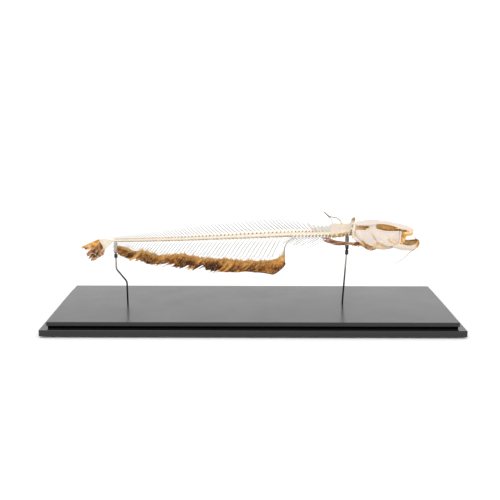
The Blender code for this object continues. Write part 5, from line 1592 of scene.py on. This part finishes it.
def throat(name, side):
    """The throat bar with its rays, the dried gill skin behind it and the lump of dried flesh under it."""
    bar = spline(on_side(side, (301, 4, 153.4, 1.5, 1.5), (289, 13, 152.2, 2.3, 1.5), (273, 22, 151.6, 3.1, 1.6),
                  (260, 26.2, 153.6, 4.3, 1.6), (249, 28.2, 156.4, 3.4, 1.4), (242.4, 28.6, 158, 1.7, 1.1)), 40)
    shape = Shape()
    tube(shape, bar[:, :3], bar[:, 3], bar[:, 4], sides=14, ref=(0, 0, 1),
         stain=0.24 + 0.06 * np.sin(np.arange(40) / 3.0))
    for k in range(13):
        share = k / 12
        root = bar[int(6 + 29 * share), :3] - (0, 0, 1.2)
        end = np.array([259 - 20 * share, side * (22.4 + 5.2 * share), 150.0 + 3.4 * share])
        middle = (root + end) / 2 + (0, side * 1.2, -1.3 + 0.5 * share)
        middle[2] = max(middle[2], 148.6)
        strand(shape, [root, middle, end], 12, (0.42, 0.22), (0.9, 0.35), sides=7, stain=(0.2, 0.42))
    x = np.linspace(243, 297, 30)
    top_z = through((243, 169), (252, 163), (262, 159), (275, 157), (287, 159.4), (297, 160))(x)
    low_y = through((242, 28.6), (249, 28.2), (260, 26.2), (273, 22), (289, 13), (301, 8))(x)
    web = np.stack([np.stack([x, side * (28.0 + (low_y - 28.0) * a), top_z + (151.8 - top_z) * a], 1)
                    for a in steps(9)], 1)
    web[:, :, 1] += side * 0.6 * fractal(web, 6, 145)
    shell(shape, web, 0.5, stain=np.clip(0.20 + 0.22 * fractal(web, 6, 146), 0.05, 1))
    shape.place("throat_rays_" + name, SKULL_PAINT, "bone", "hyoid_" + name)
    skin = Shape()
    rear = spline([(203.2, 30.6, 187), (203.8, 32.2, 179), (209, 34.0, 170.4), (219.6, 32.8, 161),
                   (230, 25.4, 153.6)], 30)
    fore = spline([(209, 31.0, 186), (212, 32.0, 177), (219, 32.6, 170), (229, 32.4, 163.6), (241, 29.4, 157.6)],
                  30)
    sheet = np.stack([(rear + (fore - rear) * a) * (1, side, 1) for a in steps(9)], 1)
    sheet[:, :, 1] += side * 0.6 * fractal(sheet, 5, 147)
    fade = falling(sheet[:, :, 2], 176, 12)
    shell(skin, sheet, 0.5, stain=clamp(0.06 + 0.30 * fade + 0.20 * fractal(sheet, 5, 148)))
    skin.place("gill_skin_" + name, SKULL_PAINT, "dried_skin")
    flesh = Shape()
    band = on_side(side, (217.5, 33.6, 171.4), (222, 34.2, 167.4), (228, 33.4, 161.6), (234, 31.6, 155.8),
                   (240, 28.6, 152.4))
    strand(flesh, band, 24, (1.1, 1.4), np.array([1.2, 1.8, 2.2, 2.4, 2.4, 2.4] * 4) * np.linspace(0.8, 1.2, 24),
           sides=12, ref=(0, 1, 0))
    lump = on_side(side, (231, 27.5, 153.6), (238, 24.0, 150.4), (245, 19.0, 149.4), (252, 14.5, 150.4),
                   (259, 11, 151.4))
    strand(flesh, lump, 20, 3.2, [1.6, 2.6, 3.2, 3.7, 3.9, 4.0, 4.0, 3.9, 3.8, 3.7, 3.6, 3.5, 3.3, 3.1, 2.8, 2.5,
                                  2.2, 1.8, 1.4, 0.8], sides=14)
    for _ in range(16):
        a = np.array([rng.uniform(232, 254), side * rng.uniform(14, 27), rng.uniform(147.6, 152.6)])
        b = a + (rng.uniform(-5, 5), side * rng.uniform(-2, 1), rng.uniform(-1.2, 1.2))
        strand(flesh, [a, (a + b) / 2 + (0, 0, 0.5), b], 6, 1.0, [0.5, 0.9, 1.1, 1.1, 0.8, 0.4], sides=8)

    def relief(q, n):
        return 0.7 * fractal(q, 4.5, 141) + 0.25 * fractal(q, 1.6, 142)

    def stain(q, n):
        return 0.42 + 0.34 * fractal(q, 5.5, 143) + 0.26 * rising(q[:, 2], 155, 4) * (q[:, 0] < 237)

    placed(sculpt(flesh, "throat_flesh_" + name, FLESH_PAINT, 0.42, relief, stain, 2), "dried_skin")


GIRDLE = ((208.3, -27.8, 205.0, 1.1, 0.9), (204.5, -29, 198, 2.5, 1.2), (202.4, -31, 190, 3.0, 1.3),
          (203.4, -33, 179, 3.2, 1.4), (209.6, -34.8, 169.6, 3.4, 1.6), (220.6, -33.6, 160.2, 3.0, 1.8),
          (231.4, -26, 152.6, 3.2, 1.8), (240.6, -13, 148.0, 3.4, 1.7), (246.6, -0.4, 146.0, 3.4, 1.6))


def build_girdle():
    """The shoulder girdle: a tall blade behind the gill cover that sweeps down to a keel under the throat."""
    p = spline(GIRDLE, 80)
    right = Shape()
    tube(right, p[:, :3], p[:, 3], p[:, 4] * 0.8, sides=18, ref=(0.5, 0.25, 0.83))
    rim = p[8:72, :3] + np.stack([-0.72 * p[8:72, 3] * clamp(1 - np.arange(64) / 50), np.zeros(64),
                                  -0.7 * p[8:72, 3] * clamp(np.arange(64) / 40)], 1)
    tube(right, rim, 1.0, 1.2, sides=10)
    strand(right, [(208, -34.4, 172), (213, -35.2, 167.2), (218.5, -35.0, 162.5)], 8, 2.0, 1.3, sides=12)
    strand(right, [(206.5, -27.9, 203.2), (204.2, -28.6, 200.4), (203.2, -29.4, 196.4)], 10, (1.0, 1.9), (1.6, 2.3),
           sides=12)
    link = [(200.5, -8, 184.5), (200.6, -16, 188.4), (201.6, -24, 190.4), (202.4, -30, 190.6)]
    strand(right, link, 24, 1.3, 1.6, sides=12)
    brace = [(202.0, -26.5, 191.0), (198.6, -23.6, 191.6), (196.6, -22.2, 189.4), (195.2, -21.6, 182.0),
             (194.2, -20.4, 176.6), (193.6, -16.4, 173.6)]
    strand(right, brace, 40, (1.2, 1.0), (1.7, 1.3), sides=12)

    def relief(q, n):
        return 0.36 * fractal(q, 6, 121) + 0.14 * np.sin(q[:, 2] * 1.6 + q[:, 0] * 0.8)

    def stain(q, n):
        low = falling(q[:, 2], 168, 9)
        lump = falling(q[:, 2], 154, 5)
        olive = (q[:, 0] > 199.2) * near(q, (202, -32, 187), (204, -33.6, 176), 4.6)
        inner = clamp(n[:, 1] - 0.1) * low
        tip = rising(q[:, 2], 199, 4)
        return (0.03 + 0.54 * low + 0.10 * lump + 0.14 * inner + 0.40 * olive + 0.06 * tip
                + 0.16 * fractal(q, 6, 122))

    def far_stain(q, n):
        return stain(q, n) + 0.50 * rising(q[:, 2], 196.5, 2.5)

    left = mirrored(right)
    ahead = through((165, 0), (182, 1.6), (190, 3.2), (200, 3.2), (206, 1.4))
    left.points = [q + np.stack([ahead(q[:, 2]), 0 * q[:, 0], 0 * q[:, 0]], 1) for q in left.points]
    strand(left, [(210.6, 27.8, 205.9), (210.8, 27.9, 201.6), (209.4, 28.4, 196.0), (207.0, 29, 190)], 14,
           (1.3, 2.2), [1.2, 2.0, 2.6, 2.9, 3.0, 3.0, 3.0, 2.9, 2.8, 2.7, 2.6, 2.5, 2.4, 2.4], sides=14)
    sculpt_pair(right, left, "shoulder_blade_", "shoulder_girdle_", NECK_PAINT, 0.42, relief, stain, 2, far_stain)


# ---- stand -------------------------------------------------------------------------------------------------
def build_stand():
    """New materials for boards and feet, and the rods, collars and forks that hold the fish."""
    dressed = {"board_lower": LACQUER, "board_recess": GAP_PAINTED_SHADE, "board_upper": LACQUER}
    dressed.update({f"foot_{end}_{side}": RUBBER for end in ("front", "back") for side in ("left", "right")})
    for name, paint in dressed.items():
        NODES[name].data.materials.clear()
        NODES[name].data.materials.append(paint)
    rods = {
        "rod_front": ([(188.2, 0, 20.2), (188.2, 0, BOARD_TOP + 2), (190.9, 0, 82), (193.6, 0, 132.3)], 60),
        "rod_rear": ([(-262.7, 0, 20.2), (-262.9, 0, 50), (-263.1, 0, 68.5), (-264.6, 0, 75), (-273.6, 0, 87),
                      (-282.6, 0, 98.8), (-284.2, 0, 104), (-284.3, 0, 114), (-284.4, 0, 124.0)], 90),
    }
    for name, (route, count) in rods.items():
        shape = Shape()
        strand(shape, route, count, 1.78, sides=20)
        shape.place(name + "_wire", STEEL, "steel", name)
    for name, x, low, high in (("front", FRONT_FORK, 132.8, 141.9), ("rear", REAR_FORK, 124.5, 132.1)):
        shape = Shape()
        z = np.array([low, low + 0.25, low + 0.8, (low + high) / 2, high - 0.8, high - 0.25, high])
        tube(shape, np.stack([x + 0 * z, 0 * z, z], 1), [2.6, 3.3, 3.6, 3.5, 3.6, 3.3, 2.6], sides=28)
        shape.place("collar_" + name + "_band", RUBBER, "black_rubber", "collar_" + name)
    forks = (("front", FRONT_FORK, 142.2, 172.6, 6.4, SMOKY_SLEEVE),
             ("rear", REAR_FORK, 132.4, 159.6, 4.0, CLEAR_SLEEVE))
    for name, x, base, top, half, paint in forks:
        bend = base + 3.2 + half
        turn = np.linspace(0, math.pi, 22)
        loop = np.stack([np.full(22, x), -half * np.cos(turn), bend - half * np.sin(turn)], 1)
        left = np.array([(x, -half, z) for z in np.linspace(top - 0.4, bend, 12, endpoint=False)])
        path = np.vstack([left, loop, (left * (1, -1, 1))[::-1]])
        radius = np.full(len(path), 3.14)  # the sleeve is rounded at its two open ends
        radius[[0, -1]], radius[[1, -2]] = 2.5, 3.05
        shape = Shape()
        tube(shape, path, radius, sides=24, ref=(1, 0, 0))
        shape.place("fork_" + name + "_sleeve", paint, "grey_sleeve", "fork_" + name)
        wire = Shape()
        tube(wire, path[2:-2], 1.5, sides=12, ref=(1, 0, 0))
        wire.place("fork_" + name + "_wire", STEEL, "steel")


# ---- room --------------------------------------------------------------------------------------------------
def build_room():
    """The pale floor, the studio light and the camera at the photo's angle."""
    floor = bpy.data.meshes.new("floor")
    floor.from_pydata([(-12, -12, 0), (12, -12, 0), (12, 12, 0), (-12, 12, 0)], [], [(0, 1, 2, 3)])
    ground = bpy.data.objects.new("floor", floor)
    bpy.context.scene.collection.objects.link(ground)
    paper = Paint("white_paper", Roughness=0.9, Specular_IOR_Level=0.1)
    tone = paper.ramp(paper.noise(300, 2), (0.3, (0.93, 0.93, 0.93)), (0.7, (0.95, 0.95, 0.95)))
    floor.materials.append(paper.done(Base_Color=tone))

    world = bpy.data.worlds.new("studio")
    bpy.context.scene.world = world
    world.use_nodes = True
    tree = world.node_tree
    where = tree.nodes.new("ShaderNodeTexCoord")
    split = tree.nodes.new("ShaderNodeSeparateXYZ")
    ramp = tree.nodes.new("ShaderNodeValToRGB")
    tree.links.new(where.outputs["Generated"], split.inputs[0])
    tree.links.new(split.outputs["Z"], ramp.inputs[0])
    brightest = 1.6
    sky = ((0.0, 1.08), (0.19, 1.40), (0.25, 1.52), (0.34, 1.52), (0.42, 0.95), (1.0, 0.95))  # by height
    set_ramp(ramp.color_ramp, [(at, light / brightest) for at, light in sky])
    tree.links.new(ramp.outputs[0], tree.nodes["Background"].inputs[0])
    tree.nodes["Background"].inputs[1].default_value = brightest

    for name, place, wide, power in (("key", (-0.7, -1.0, 1.9), 40, 0.62), ("fill", (0.9, 0.4, 1.6), 70, 0.25)):
        light = bpy.data.lights.new(name, "SUN")
        light.angle = math.radians(wide)
        light.energy = power
        obj = bpy.data.objects.new(name, light)
        obj.location = place
        obj.rotation_euler = (-Vector(place)).to_track_quat("-Z", "Y").to_euler()
        bpy.context.scene.collection.objects.link(obj)

    camera = bpy.data.cameras.new("camera")
    camera.sensor_width = 36
    camera.lens = 54
    view = bpy.data.objects.new("camera", camera)
    # its place and angles, solved from the boards' corners in the photo
    eye = (-0.01072, -1.51441, 0.48295)
    down, yaw, roll = (math.radians(angle) for angle in (12.7048, 0.1663, 0.1772))
    forward = Vector((math.sin(yaw) * math.cos(down), math.cos(yaw) * math.cos(down), -math.sin(down)))
    flat = Vector((math.cos(yaw), -math.sin(yaw), 0))
    up = flat.cross(forward)
    x_axis = math.cos(roll) * flat + math.sin(roll) * up
    y_axis = -math.sin(roll) * flat + math.cos(roll) * up
    turn = Matrix((x_axis, y_axis, -forward)).transposed()
    view.matrix_world = Matrix.Translation(eye) @ turn.to_4x4()
    bpy.context.scene.collection.objects.link(view)
    bpy.context.scene.camera = view
    bpy.context.scene.view_settings.view_transform = "Standard"


build_stand()
build_column()
build_neck()
build_neck_shreds()
build_tail_plate()
build_anal_fin()
build_tail_fin()
build_dorsal_fin()
build_pectoral_fin(-1, RIGHT_FIN, "pectoral_fin_right", 200)
build_pectoral_fin(1, LEFT_FIN, "pectoral_fin_left", 260)
build_braincase()
build_upper_jaw()
build_lower_jaw()
build_cheek()
build_gill_cover()
build_small_head_bones()
build_girdle()
build_room()
